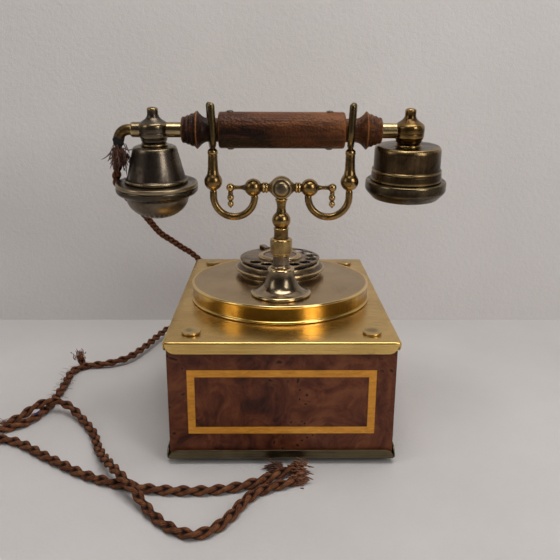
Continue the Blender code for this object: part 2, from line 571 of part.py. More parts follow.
def make_grip():
    """The wooden grip and its two turned ends, threaded on the handset tube."""
    soft = 1.6 * MM
    profile = [(TUBE_BORE, GRIP_HALF), (GRIP_RADIUS - soft, GRIP_HALF), (GRIP_RADIUS - 0.4 * MM, GRIP_HALF - 0.5 * MM),
               (GRIP_RADIUS, GRIP_HALF - soft), (GRIP_RADIUS, 0.0)]
    outline = profile + [(radius, -x) for radius, x in reversed(profile[:-1])]
    lay_on_handset(turned("grip", outline, MAHOGANY, (0, 0, 0), AXIS_X, steps=24, closed=True))
    near, far = 50.6, 79.4
    steps = [(9.4, near), (9.4, 60.4), (10.2, 62.2), (12.0, 64.6), (14.0, 66.6), (14.4, 67.3), (13.2, 68.8),
             (12.7, 70.4), (12.2, 70.8), (12.2, 72.6), (11.2, 73.2), (11.0, 75.2), (10.3, 75.8), (10.2, 77.8),
             (9.4, far - 0.4), (8.8, far)]
    for name, side in (("left", -1), ("right", 1)):
        outline = [(r * MM, side * x * MM) for r, x in steps]
        ring = [(TUBE_BORE, side * far * MM), (TUBE_BORE, side * near * MM)]
        if side == 1:
            outline = outline[::-1]
            ring = [(TUBE_BORE, near * MM), (TUBE_BORE, far * MM)]
        outline += ring
        lay_on_handset(turned(f"grip_end_{name}", outline, MAHOGANY, (0, 0, 0), AXIS_X, steps=14, closed=True))


def make_handset_tube():
    """The tube through the grip, and the bent spout at its left end that lets the cord out."""
    tube = rod("handset_tube", TUBE_RADIUS, TUBE_LEFT, TUBE_RIGHT, (0, 0, 0), AGED_BRASS, turn=AXIS_X)
    lay_on_handset(tube)
    angles = np.radians(np.linspace(90, 172, 7))
    start = TUBE_LEFT - 1.8 * MM
    path = [(TUBE_LEFT - GAP, 0, 0)]
    path += [(start + SPOUT_BEND * math.cos(a), 0, SPOUT_BEND * (math.sin(a) - 1)) for a in angles]
    spout = wire("cord_spout", path, 4.4 * MM, AGED_BRASS, resolution=3)
    lay_on_handset(spout)


def joint_outline(low):
    """A ball joint with a belt, a concave shoulder and a button on top, down to its neck."""
    shoulder = [(0, 16.8), (3.4, 16.7), (4.3, 15.8), (4.2, 12.0), (4.9, 10.2), (6.6, 8.2), (9.2, 6.8), (9.4, 6.2)]
    ball = [(11.0, 5.4), (11.5, 4.0), (11.6, -3.0), (11.3, -6.2), (10.2, -8.8), (8.6, -10.3)]
    return [(r * MM, z * MM) for r, z in shoulder + ball] + [(8.6 * MM, low), (0, low)]


def make_transmitter():
    """The left end: a ball joint, a horn, a clamp ring, a domed mouthpiece and the capsule inside."""
    centre = (-JOINT_X, 0, 0)
    joint = turned("transmitter_joint", joint_outline(-12.3 * MM), GREY_BRONZE, centre)
    lay_on_handset(joint)
    hole = rod("transmitter_joint_bore", TUBE_BORE, -0.13, -0.08, (0, 0, 0), home=cutters, turn=AXIS_X)
    lay_on_handset(hole)
    combine(joint, hole, "DIFFERENCE")
    horn = [(0, -12.7), (15.6, -12.7), (17.4, -14.0), (18.4, -18.0), (23.6, -37.4), (25.2, -38.6), (25.2, -41.4),
            (22.8, -41.4), (22.2, -38.0), (16.0, -15.0), (0, -14.6)]
    ring = [(25.8, -41.8), (33.0, -41.9), (33.3, -42.6), (33.3, -48.8), (32.6, -49.6), (25.9, -53.6), (22.8, -53.6),
            (22.8, -41.8)]
    slopes = np.radians((69, 48, 27, 6))
    dome = [(0, -70.0)] + [(23.4 * math.cos(a), -54.0 - 16.0 * math.sin(a)) for a in slopes]
    dome += [(23.4, -54.0), (25.3, -54.0)]
    dome += [(25.3 * math.cos(a), -54.0 - 17.6 * math.sin(a)) for a in reversed(slopes)] + [(0, -71.6)]
    capsule = [(0, -30.0), (18.6, -30.0), (18.6, -40.0), (21.0, -43.0), (21.0, -50.0), (0, -50.0)]
    for name, outline, look, closed, steps in (("transmitter_horn", horn, GREY_BRONZE, False, 20),
                                               ("transmitter_ring", ring, DARK_BRONZE, True, 20),
                                               ("mouthpiece", dome, GREY_BRONZE, False, 20),
                                               ("transmitter_capsule", capsule, BAKELITE, False, 12)):
        shape = [(r * MM, z * MM) for r, z in outline]
        lay_on_handset(turned(name, shape, look, centre, steps=steps, closed=closed))


def make_receiver():
    """The right end: a ball joint, a stepped cup, an ear cap with a sound hole, and the capsule."""
    centre = (JOINT_X, 0, 0)
    joint = turned("receiver_joint", joint_outline(-11.2 * MM), BRIGHT_BRASS, centre)
    lay_on_handset(joint)
    far = TUBE_RIGHT + 2 * GAP
    hole = rod("receiver_joint_bore", TUBE_BORE, 0.08, far, (0, 0, 0), home=cutters, turn=AXIS_X)
    lay_on_handset(hole)
    combine(joint, hole, "DIFFERENCE")
    cup = [(0, -11.6), (24.2, -11.6), (26.2, -12.8), (26.7, -15.0), (26.9, -29.2), (27.6, -30.0), (27.6, -31.2),
           (28.1, -32.2), (28.6, -39.0), (26.8, -39.0), (25.2, -30.0), (25.0, -13.2), (0, -13.2)]
    cap = [(28.8, -39.4), (32.2, -39.6), (32.7, -40.4), (32.7, -46.8), (32.0, -48.0), (27.0, -53.6), (23.5, -54.6),
           (19.0, -53.8), (9.0, -52.4), (5.0, -52.2), (5.0, -50.4), (24.4, -50.4), (26.4, -46.0), (26.4, -39.4)]
    capsule = [(0, -24.0), (22.5, -24.0), (22.5, -38.0), (24.0, -40.0), (24.0, -49.6), (0, -49.6)]
    for name, outline, look, closed, steps in (("receiver_cup", cup, DARK_BRONZE, False, 20),
                                               ("receiver_cap", cap, DARK_BRONZE, True, 20),
                                               ("receiver_capsule", capsule, BAKELITE, False, 12)):
        shape = [(r * MM, z * MM) for r, z in outline]
        lay_on_handset(turned(name, shape, look, centre, steps=steps, closed=closed))


def make_hook_switch():
    """A bracket under the top plate, and the lever that follows the rod's end."""
    tip_top = ROD_LOW - 0.5 * MM
    outline = [(-3.0, 94.0), (-2.6, 90.6), (24.0, 89.0), (32.0, 90.0), (34.0, 92.0), (32.0, 94.0), (24.0, 94.4),
               (3.2, 93.4), (3.0, tip_top / MM), (-3.0, tip_top / MM)]
    lever = slab("hook_lever", [(x * MM, z * MM) for x, z in outline], -2.5 * MM, 2.5 * MM, STEEL)
    lever.data.transform(Matrix.Translation((0, COLUMN_Y, 0)) @ STANDING)
    pivot = (LEVER_PIVOT_X, COLUMN_Y, LEVER_PIVOT_Z)
    pin = rod("hook_lever_pin", 1.5 * MM, -7.5 * MM, 7.5 * MM, pivot, home=cutters, turn=AXIS_Y, sides=12)
    combine(lever, pin, "UNION")
    near, far = COLUMN_Y - 8 * MM, COLUMN_Y + 8 * MM
    bracket = box("hook_bracket", (20 * MM, near, 85 * MM), (40 * MM, far, 102.8 * MM), BAKELITE)
    near, far = COLUMN_Y - 3.5 * MM, COLUMN_Y + 3.5 * MM
    slot = box("hook_bracket_slot", (18 * MM, near, 80 * MM), (42 * MM, far, 99 * MM), home=cutters)
    combine(bracket, slot, "DIFFERENCE")
    drill(bracket, 1.9 * MM, -12 * MM, 12 * MM, pivot, turn=AXIS_Y, sides=12)


def make_ringer():
    """A frame with two coils and two gong posts, the gongs, and the clapper between them."""
    floor = BOTTOM_PLATE_LOW + PLATE_THICKNESS + GAP
    frame = box("ringer_frame", (-40 * MM, -96 * MM, floor), (40 * MM, -34 * MM, floor + 2.5 * MM), STEEL)
    sunk = floor + 1 * MM
    for name, side in (("left", -1), ("right", 1)):
        at = (side * GONG_X, GONG_Y, 0)
        post = rod(f"gong_post_{name}", 2.4 * MM, sunk, 47 * MM, at, home=cutters, sides=12)
        combine(frame, post, "UNION")
        coil = rod(f"coil_{name}", 8.5 * MM, sunk, 30 * MM, (side * 12 * MM, CLAPPER_Y, 0), home=cutters)
        combine(frame, coil, "UNION")
        gong = [(2.8, 44.2), (12.0, 43.4), (19.6, 39.6), (23.4, 33.6), (24.0, 30.0), (22.7, 30.0), (22.1, 33.2),
                (18.7, 38.5), (11.6, 42.0), (2.8, 42.8)]
        outline = [(r * MM, z * MM) for r, z in gong]
        turned(f"gong_{name}", outline, SATIN_BRASS, at, steps=12, closed=True)
    near, far = CLAPPER_Y - 4 * MM, CLAPPER_Y + 4 * MM
    clapper = box("clapper", (-18 * MM, near, 31.2 * MM), (18 * MM, far, 34 * MM), STEEL)
    pivot = (0, CLAPPER_Y, 32.6 * MM)
    arm = rod("clapper_arm", 1.2 * MM, 0, 40 * MM, pivot, home=cutters, turn=AXIS_Y_BACK, sides=12)
    combine(clapper, arm, "UNION")
    ball = turned("clapper_ball", [(0, 3 * MM)] + ball_arc(3 * MM, 0, 20, 160, 7) + [(0, -3 * MM)], None,
                  (0, GONG_Y, 32.6 * MM), steps=16)
    combine(clapper, ball, "UNION")


def make_terminal_board():
    """A board on four pillars that carries the induction coil."""
    floor = BOTTOM_PLATE_LOW + PLATE_THICKNESS + GAP
    board = box("terminal_board", (-38 * MM, 40 * MM, 14 * MM), (38 * MM, 88 * MM, 16 * MM), BAKELITE)
    for x in (-32, 32):
        for y in (46, 82):
            pillar = rod(f"pillar_{x}_{y}", 3 * MM, floor, 15 * MM, (x * MM, y * MM, 0), home=cutters, sides=12)
            combine(board, pillar, "UNION")
    coil = box("induction_coil", (-16 * MM, 52 * MM, 15 * MM), (16 * MM, 76 * MM, 38 * MM), home=cutters)
    combine(board, coil, "UNION")


def make_glands():
    """A brass bush in the rear panel for each cord."""
    nose = GLAND_NOSE
    for name, (x, z) in (("handset_cord_gland", HANDSET_GLAND), ("line_cord_gland", LINE_GLAND)):
        face = WOOD_DEPTH / 2 + GAP
        profile = [(0, nose), (4.4 * MM, nose), (5.0 * MM, face + 2.4 * MM), (7.5 * MM, face + 1.8 * MM),
                   (7.5 * MM, face), (5.6 * MM, face), (5.6 * MM, 111.0 * MM), (0, 111.0 * MM)]
        turned(name, profile, AGED_BRASS, (x, 0, z), AXIS_Y, steps=12)


def make_cords():
    """The braided cords: handset to box, box to the floor, and the tail spliced to it."""
    spacing = CORD_RADIUS * 2 * 2.2
    for name, route in (("handset_cord", HANDSET_CORD_ROUTE), ("line_cord", LINE_CORD_ROUTE),
                        ("line_cord_tail", TAIL_CORD_ROUTE)):
        wire(name, smooth_route(route, spacing), CORD_RADIUS, BRAID, resolution=2)


make_plates()
make_panels()
make_feet_and_bolts()
make_drum()
make_dial()
make_column()
make_stem()
make_hub()
make_arms()
make_grip()
make_handset_tube()
make_transmitter()
make_receiver()
make_hook_switch()
make_ringer()
make_terminal_board()
make_glands()
make_cords()
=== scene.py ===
import math

import bmesh
import bpy
import numpy as np
from mathutils import Matrix, Vector


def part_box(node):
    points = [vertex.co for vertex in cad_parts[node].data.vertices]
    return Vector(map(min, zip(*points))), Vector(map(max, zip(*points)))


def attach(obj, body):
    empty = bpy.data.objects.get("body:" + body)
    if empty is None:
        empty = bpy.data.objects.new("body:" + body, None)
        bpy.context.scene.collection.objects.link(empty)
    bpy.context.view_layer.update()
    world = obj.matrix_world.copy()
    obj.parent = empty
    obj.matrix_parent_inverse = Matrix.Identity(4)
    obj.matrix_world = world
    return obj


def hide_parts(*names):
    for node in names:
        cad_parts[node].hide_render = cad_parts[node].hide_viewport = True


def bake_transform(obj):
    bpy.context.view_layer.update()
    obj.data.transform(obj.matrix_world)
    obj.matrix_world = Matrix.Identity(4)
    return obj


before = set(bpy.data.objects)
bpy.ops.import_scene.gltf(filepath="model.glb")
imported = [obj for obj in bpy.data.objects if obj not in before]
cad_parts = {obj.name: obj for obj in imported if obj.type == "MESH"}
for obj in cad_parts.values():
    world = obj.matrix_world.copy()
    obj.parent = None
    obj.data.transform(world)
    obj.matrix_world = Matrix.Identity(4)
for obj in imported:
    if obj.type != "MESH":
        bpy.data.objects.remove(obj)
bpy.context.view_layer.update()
MM = 0.001

# ---------------------------------------------------------------------------
# Camera, floor and light. A pale floor under an even studio sky that is darker
# in front, a wide soft light overhead, a tall one at the right, a weak one left.
EYE = Vector((-0.0089, -0.5983, 0.2936))
PITCH, YAW, ROLL = (math.radians(angle) for angle in (16.47, 0.85, 0.32))

camera = bpy.data.objects.new("camera", bpy.data.cameras.new("camera"))
bpy.context.scene.collection.objects.link(camera)
camera.data.sensor_width = 36.0
camera.data.lens = 43.2
camera.data.clip_start = 0.01
camera.matrix_world = (Matrix.Translation(EYE) @ Matrix.Rotation(-YAW, 4, "Z")
                       @ Matrix.Rotation(math.pi / 2 - PITCH, 4, "X") @ Matrix.Rotation(ROLL, 4, "Z"))
bpy.context.scene.camera = camera
bpy.context.scene.view_settings.view_transform = "Standard"


def add(tree, kind, settings=(), **inputs):
    """A shader node with its settings and inputs. An input is a value or another node's output, and its
    name is the socket's, with _ for a space, or n and the socket's number."""
    node = tree.nodes.new("ShaderNode" + kind)
    for name, value in dict(settings).items():
        setattr(node, name, value)
    for name, value in inputs.items():
        numbered = name[0] == "n" and name[1:].isdigit()
        socket = node.inputs[int(name[1:])] if numbered else node.inputs[name.replace("_", " ")]
        if isinstance(value, bpy.types.NodeSocket):
            tree.links.new(value, socket)
        else:
            socket.default_value = value
    return node


def new_look(name, metallic=0.0, **shine):
    """A material with its node tree, its shader and its object coordinates. Shine is what is the same
    all over."""
    look = bpy.data.materials.new(name)
    look.use_nodes = True
    tree = look.node_tree
    shader = tree.nodes["Principled BSDF"]
    shader.inputs["Metallic"].default_value = metallic
    for socket, value in shine.items():
        shader.inputs[socket.replace("_", " ")].default_value = value
    return look, tree, shader, add(tree, "TexCoord").outputs["Object"]


def calc(tree, operation, first, second=0.0):
    """The result of one sum on two values."""
    return add(tree, "Math", {"operation": operation}, n0=first, n1=second).outputs[0]


def ramp(tree, share, *stops):
    """A colour read off a row of (place, colour) stops."""
    node = add(tree, "ValToRGB", Fac=share)
    band = node.color_ramp.elements
    while len(band) < len(stops):
        band.new(0.5)
    for element, (place, colour) in zip(band, stops):
        element.position = place
        element.color = (*colour, 1.0)
    return node.outputs["Color"]


def spread(tree, value, low, high, start=0.0, end=1.0):
    """A value from low to high turned into one from start to end, and held there outside."""
    return add(tree, "MapRange", Value=value, From_Min=low, From_Max=high, To_Min=start,
               To_Max=end).outputs[0]


def mixed(tree, share, first, second):
    """Two colours mixed by a share."""
    colours = [value if isinstance(value, bpy.types.NodeSocket) else (*value, 1.0)
               for value in (first, second)]
    return add(tree, "Mix", {"data_type": "RGBA"}, n0=share, n6=colours[0], n7=colours[1]).outputs[2]


def painted(tree, shader, colour):
    """Give a shader its colour."""
    tree.links.new(colour, shader.inputs["Base Color"])


def noise(tree, place, scale, detail=4.0, roughness=0.55, distortion=0.0):
    """Cloudy noise, from 0 to 1."""
    return add(tree, "TexNoise", Vector=place, Scale=scale, Detail=detail, Roughness=roughness,
               Distortion=distortion).outputs["Fac"]


def raised(tree, shader, height, depth):
    """Fine relief on a shader, depth metres high where height goes from 0 to 1."""
    bump = add(tree, "Bump", Height=height, Distance=depth, Strength=1.0)
    tree.links.new(bump.outputs["Normal"], shader.inputs["Normal"])


world = bpy.data.worlds.new("studio")
world.use_nodes = True
bpy.context.scene.world = world
sky = world.node_tree
sky.nodes.clear()
depth = add(sky, "SeparateXYZ", Vector=add(sky, "TexCoord").outputs["Generated"]).outputs["Y"]
shade = ramp(sky, spread(sky, depth, -0.9, 0.8), (0.0, (0.055, 0.052, 0.050)), (0.55, (0.17, 0.16, 0.15)),
             (1.0, (0.50, 0.47, 0.45)))
seen = add(sky, "LightPath").outputs["Is Camera Ray"]
both = add(sky, "MixShader", n0=seen, n1=add(sky, "Background", Color=shade).outputs[0],
           n2=add(sky, "Background", Color=(0.44, 0.41, 0.395, 1.0)).outputs[0])
add(sky, "OutputWorld", Surface=both.outputs[0])


def soft_light(name, place, width, height, watts):
    """A rectangular light aimed at the middle of the telephone."""
    lamp = bpy.data.lights.new(name, "AREA")
    lamp.shape = "RECTANGLE"
    lamp.size, lamp.size_y, lamp.energy = width, height, watts
    stand = bpy.data.objects.new(name, lamp)
    stand.location = place
    stand.rotation_euler = (Vector((0, 0, 0.15)) - Vector(place)).to_track_quat("-Z", "Y").to_euler()
    bpy.context.scene.collection.objects.link(stand)


soft_light("overhead_light", (0.15, -0.25, 1.6), 1.3, 0.7, 14.2)
soft_light("right_light", (0.85, -1.0, 0.75), 0.45, 0.8, 6.0)
soft_light("left_light", (-1.0, -0.5, 0.7), 0.4, 0.7, 1.6)


def solid(name, points, faces, look, marks=(), sharp=40.0):
    """A mesh object from points and faces, with its double points welded, faces smooth up to an angle,
    and a number on every point for each mark."""
    mesh = bpy.data.meshes.new(name)
    mesh.from_pydata(points.tolist(), [], faces.tolist() if hasattr(faces, "tolist") else faces)
    for mark, values in dict(marks).items():
        layer = mesh.attributes.new(mark, "FLOAT", "POINT")
        layer.data.foreach_set("value", values.astype(np.float32).ravel())
    work = bmesh.new()
    work.from_mesh(mesh)
    bmesh.ops.remove_doubles(work, verts=work.verts, dist=1e-6)
    work.to_mesh(mesh)
    work.free()
    mesh.shade_smooth()
    mesh.set_sharp_from_angle(angle=math.radians(sharp))
    mesh.materials.append(look)
    made = bpy.data.objects.new(name, mesh)
    bpy.context.scene.collection.objects.link(made)
    return made


FLOOR_HALF = 5.0
floor_look, tree, shader, place = new_look("pale_floor", Roughness=0.55)
painted(tree, shader, ramp(tree, noise(tree, place, 6.0, 6.0), (0.3, (0.535, 0.510, 0.495)),
                           (0.7, (0.590, 0.565, 0.550))))
raised(tree, shader, noise(tree, place, 320.0, 3.0), 0.0004)
corners = np.array([(-1, -1, 0), (1, -1, 0), (1, 1, 0), (-1, 1, 0)]) * FLOOR_HALF
floor = solid("floor", corners, [[0, 1, 2, 3]], floor_look)
WALL_AT, WALL_TOP = 0.2145, 3.0
wall_look, tree, shader, place = new_look("pale_wall", Roughness=0.7)
painted(tree, shader, ramp(tree, noise(tree, place, 5.0, 6.0), (0.3, (0.71, 0.672, 0.650)),
                           (0.7, (0.76, 0.722, 0.700))))
raised(tree, shader, noise(tree, place, 240.0, 4.0, 0.7), 0.0008)
behind = add(tree, "NewGeometry").outputs["Backfacing"]
two_sided = add(tree, "MixShader", n0=behind, n1=shader.outputs[0],
                n2=add(tree, "BsdfTransparent").outputs[0])
tree.links.new(two_sided.outputs[0], tree.nodes["Material Output"].inputs["Surface"])
corners = np.array([(-FLOOR_HALF, WALL_AT, 0), (FLOOR_HALF, WALL_AT, 0), (FLOOR_HALF, WALL_AT, WALL_TOP),
                    (-FLOOR_HALF, WALL_AT, WALL_TOP)])
wall = solid("wall", corners, [[0, 1, 2, 3]], wall_look)

# ---------------------------------------------------------------------------
# The cords: three-strand plaits of brown cotton. One joins the handset to the
# box; the line cord leaves the box low down, and a loose tail lies on it. Their
# cut ends have come unplaited, and a blue core shows where the plait is open.
HANDSET_CORD_ROUTE = [
    (-130.4, -50.0, 248.1), (-131.4, -49.4, 241.0), (-132.9, -45.0, 231.0), (-136.0, -38.5, 220.0),
    (-138.4, -30.0, 211.0), (-137.2, -16.0, 201.0), (-132.6, 0.0, 189.0), (-127.8, 21.0, 175.5),
    (-124.2, 45.0, 160.5), (-119.8, 70.0, 145.0), (-112.5, 88.0, 134.0), (-104.0, 106.0, 122.0),
    (-96.5, 122.0, 112.0), (-90.5, 132.5, 103.0), (-84.0, 141.0, 94.0),
    (-75.0, 149.0, 81.0), (-64.0, 157.5, 68.0), (-54.0, 162.0, 58.5), (-46.0, 161.0, 53.5),
    (-41.2, 154.5, 52.1), (-40.0, 146.0, 52.0), (-40.0, 131.0, 52.0)]
LINE_CORD_ROUTE = [
    (-14.0, 131.0, 22.0), (-14.0, 146.0, 21.8), (-17.0, 160.0, 20.5), (-26.0, 173.0, 18.0),
    (-43.0, 183.0, 15.0), (-67.0, 187.5, 12.5), (-94.0, 186.0, 11.0), (-117.0, 176.5, 10.0),
    (-130.0, 160.0, 9.3), (-139.0, 137.0, 8.8), (-149.5, 103.0, 8.0), (-164.0, 75.0, 6.5),
    (-184.0, 64.5, 4.6), (-203.0, 61.5, 3.5), (-214.0, 48.0, 3.5), (-213.5, 20.0, 3.5),
    (-213.5, -20.0, 3.5), (-217.5, -46.0, 3.5), (-227.0, -64.0, 3.5), (-241.0, -73.0, 3.5),
    (-257.0, -73.5, 3.5), (-267.0, -81.0, 3.5), (-262.0, -89.5, 3.5), (-248.0, -90.5, 3.5),
    (-232.0, -91.0, 3.5), (-214.0, -99.5, 3.5), (-193.0, -115.5, 3.5), (-174.0, -129.0, 3.5),
    (-156.0, -141.5, 3.5), (-136.0, -152.0, 3.5), (-109.0, -161.0, 3.5), (-87.0, -165.0, 3.5),
    (-66.0, -166.0, 3.5), (-50.0, -165.0, 3.5), (-36.0, -162.0, 3.5), (-22.0, -156.5, 3.5),
    (-9.0, -149.0, 3.6), (2.0, -142.0, 4.6), (13.0, -137.0, 6.0)]
TAIL_CORD_ROUTE = [
    (-240.0, -63.0, 3.5), (-231.5, -51.5, 4.8), (-221.0, -42.0, 9.8), (-208.0, -37.0, 12.0),
    (-193.0, -41.5, 9.6), (-179.0, -54.0, 4.8), (-160.0, -82.0, 3.5), (-151.0, -104.0, 3.8),
    (-142.0, -123.0, 6.4), (-131.5, -142.0, 10.4), (-120.0, -159.0, 11.8), (-107.5, -174.0, 9.6),
    (-97.0, -187.0, 5.0), (-86.0, -200.0, 3.5), (-74.0, -210.5, 3.5), (-60.0, -216.0, 3.5),
    (-47.5, -210.5, 3.5), (-36.0, -195.5, 3.5), (-28.0, -180.0, 3.5), (-19.0, -168.5, 3.5),
    (-6.0, -160.5, 3.5), (6.0, -155.5, 3.5), (13.0, -150.5, 3.6)]
HANDSET_CORD_WIDTH, HANDSET_CORD_THICKNESS, HANDSET_STRAND, HANDSET_PERIOD = 0.0066, 0.0054, 0.0016, 0.029
FLOOR_CORD_WIDTH, FLOOR_CORD_THICKNESS, FLOOR_STRAND, FLOOR_PERIOD = 0.0080, 0.0069, 0.00195, 0.039
ACROSS, UPWARDS = (1.0, 0.0, 0.0), (0.0, 0.0, 1.0)
THREAD_FLOOR = 0.0006
HANDSET_CORD_SWELL = ((0.0, 0.8), (0.006, 0.85), (0.014, 1.3), (0.034, 1.38), (0.050, 1.0))


def unit(vectors):
    """Vectors made one long."""
    return vectors / np.maximum(np.linalg.norm(vectors, axis=-1, keepdims=True), 1e-12)


def reach_along(path):
    """How far along a path each of its points lies."""
    return np.concatenate([[0.0], np.cumsum(np.linalg.norm(np.diff(path, axis=0), axis=1))])


def smooth_route(points, spacing, samples=33):
    """Evenly spaced points on the centripetal Catmull-Rom curve through a route in millimetres: between
    two route points it blends the lines through their neighbours, timed by the root of their distances."""
    route = np.array(points, dtype=float) * MM
    ends = np.vstack([2 * route[0] - route[1], route, 2 * route[-1] - route[-2]])
    p0, p1, p2, p3 = ends[:-3, None], ends[1:-2, None], ends[2:-1, None], ends[3:, None]
    gap = [np.sqrt(np.linalg.norm(b - a, axis=-1, keepdims=True)) for a, b in ((p0, p1), (p1, p2), (p2, p3))]
    k1, k2, k3 = gap[0], gap[0] + gap[1], gap[0] + gap[1] + gap[2]
    t = k1 + (k2 - k1) * np.linspace(0.0, 1.0, samples)[None, :, None]
    a1 = ((k1 - t) * p0 + t * p1) / k1
    a2 = ((k2 - t) * p1 + (t - k1) * p2) / (k2 - k1)
    a3 = ((k3 - t) * p2 + (t - k2) * p3) / (k3 - k2)
    b1 = ((k2 - t) * a1 + t * a2) / k2
    b2 = ((k3 - t) * a2 + (t - k1) * a3) / (k3 - k1)
    fine = ((k2 - t) * b1 + (t - k1) * b2) / (k2 - k1)
    fine = np.vstack([fine[:, :-1].reshape(-1, 3), route[-1:]])
    reach = reach_along(fine)
    even = np.linspace(0.0, reach[-1], int(round(reach[-1] / spacing)) + 1)
    return np.stack([np.interp(even, reach, fine[:, axis]) for axis in range(3)], axis=1)


def tube_faces(rows, around, closed=False):
    """The quads between neighbouring rings of a tube, wound so that they face out."""
    index = np.arange(rows * around).reshape(rows, around)
    after = np.roll(index, -1, axis=1)
    far, far_after = np.roll(index, -1, axis=0), np.roll(after, -1, axis=0)
    quads = np.stack([index, after, far_after, far], axis=-1)
    return (quads if closed else quads[:-1]).reshape(-1, 4)


def crossways(path, level):
    """Two directions square to a path at each point: one square to the given level too, and one up
    from it."""
    along = unit(np.gradient(path, axis=-2))
    side = unit(np.cross(along, np.asarray(level, float)))
    return side, np.cross(along, side)


def rings(path, level, angle, radius):
    """A ring round each point of a path, at the given angles, with a radius for each."""
    side, up = crossways(path, level)
    offset = side[..., None, :] * np.cos(angle)[..., None] + up[..., None, :] * np.sin(angle)[..., None]
    return path[..., None, :] + offset * radius[..., None]


def pinch(rows):
    """The rings with both ends drawn to a point."""
    return np.concatenate([rows[:1] * 0 + rows[:1].mean(1, keepdims=True), rows,
                           rows[-1:] * 0 + rows[-1:].mean(1, keepdims=True)])


def plait(name, path, look, level, width, thickness, strand, period, around=44, swell=((0.0, 1.0),)):
    """A three-strand plait. Each strand is a round yarn whose centre swings sideways as a sine and up and
    down as a sine of twice the angle, a third of a period behind the last. A ring's radius at an angle is the
    furthest point where a ray from the middle leaves a yarn. Swell is how loose the plait is, as pairs of a
    length along the path and a factor."""
    reach = reach_along(path)
    loose = np.interp(reach, *np.transpose(swell))[:, None]
    phase = 2 * math.pi * (reach[None, :, None] / period + np.arange(3)[:, None, None] / 3)
    centre_x = (width / 2 - strand) * np.sin(phase)
    centre_y = (thickness / 2 - strand) * np.sin(2 * phase)
    angle = np.linspace(0.0, 2 * math.pi, around, endpoint=False)
    toward = centre_x * np.cos(angle) + centre_y * np.sin(angle)
    aside = centre_y * np.cos(angle) - centre_x * np.sin(angle)
    inside = strand ** 2 - aside ** 2
    leaving = np.where(inside > 0, toward + np.sqrt(np.maximum(inside, 0.0)), 0.0)
    radius = np.maximum(leaving.max(0), strand * 0.62)
    crest = radius / (width / 2)
    owner = leaving.argmax(0)[None]
    own_x = np.take_along_axis(np.broadcast_to(centre_x, leaving.shape), owner, 0)[0]
    own_y = np.take_along_axis(np.broadcast_to(centre_y, leaving.shape), owner, 0)[0]
    on_x, on_y = radius * np.cos(angle) - own_x, radius * np.sin(angle) - own_y
    ring = rings(path, level, np.broadcast_to(angle, radius.shape), radius * loose)
    size = np.hypot(on_x, on_y)
    marks = {"yarn_x": on_x / size, "yarn_y": on_y / size, "strand": owner[0] * 1.0,
             "reach": np.broadcast_to(reach[:, None] / MM, radius.shape), "crest": crest}
    marks = {mark: np.concatenate([value[:1], value, value[-1:]]) for mark, value in marks.items()}
    return solid(name, pinch(ring).reshape(-1, 3), tube_faces(len(path) + 2, around), look, marks, sharp=80.0)


def cotton_look(name, dark, middle, light):
    """Twisted cotton: fine threads wind round each strand, the strands differ a little in colour, and the
    hollows between them carry painted shade."""
    look, tree, shader, place = new_look(name, Roughness=0.9, Specular_IOR_Level=0.2)
    yarn_x, yarn_y, strand, reach, crest = (add(tree, "Attribute", {"attribute_name": mark}).outputs["Fac"]
                                            for mark in ("yarn_x", "yarn_y", "strand", "reach", "crest"))
    turn = calc(tree, "MULTIPLY", calc(tree, "ARCTAN2", yarn_y, yarn_x), 8.0)
    thread = calc(tree, "SINE", calc(tree, "ADD", turn, calc(tree, "MULTIPLY", reach, 2.4)))
    blotch = noise(tree, place, 190.0, 5.0, 0.65)
    fuzz = noise(tree, place, 1500.0, 3.0, 0.7)
    tone = calc(tree, "ADD", calc(tree, "MULTIPLY", thread, 0.12), calc(tree, "MULTIPLY", strand, 0.035))
    tone = calc(tree, "ADD", calc(tree, "ADD", tone, blotch), calc(tree, "MULTIPLY", fuzz, 0.40))
    colour = ramp(tree, tone, (0.42, dark), (0.68, middle), (0.98, light))
    # Painted shade: where the surface sinks into the hollows between strands, the colour is mixed towards a
    # much darker brown.
    painted_hollow_shade = spread(tree, crest, 0.50, 0.80)
    painted(tree, shader, mixed(tree, painted_hollow_shade, [c * 0.35 for c in dark], colour))
    raised(tree, shader, calc(tree, "ADD", calc(tree, "MULTIPLY", thread, 0.6), fuzz), 0.00040)
    return look


cotton = cotton_look("brown_cotton", (0.036, 0.0105, 0.0050), (0.132, 0.044, 0.0180), (0.275, 0.112, 0.048))


def thin_look(name, colour, roughness=0.7):
    """One thin thread, wire or tape, a little uneven in colour."""
    look, tree, shader, place = new_look(name, Roughness=roughness)
    uneven = ramp(tree, noise(tree, place, 260.0, 4.0), (0.3, [c * 0.55 for c in colour]),
                  (0.7, [min(c * 1.5, 1.0) for c in colour]))
    painted(tree, shader, uneven)
    return look


def threads(name, paths, radius, look, sides=5):
    """Many thin round threads at once. Each is a ring swept along its own path, drawn to a point at both
    ends."""
    count, rows = paths.shape[:2]
    angle = np.linspace(0.0, 2 * math.pi, sides, endpoint=False)
    taper = np.sin(np.linspace(0.0, math.pi, rows)) ** 0.35
    taper[[0, -1]] = 0.0
    level = unit(np.cross(paths[:, -1] - paths[:, 0], (0.31, 0.55, 0.77)))[:, None, :]
    sizes = np.broadcast_to((radius * taper)[None, :, None], (count, rows, sides))
    points = rings(paths, level, np.broadcast_to(angle, sizes.shape), sizes)
    one = tube_faces(rows, sides)
    faces = one[None] + (np.arange(count) * rows * sides)[:, None, None]
    return solid(name, points.reshape(-1, 3), faces.reshape(-1, 4), look, sharp=180.0)


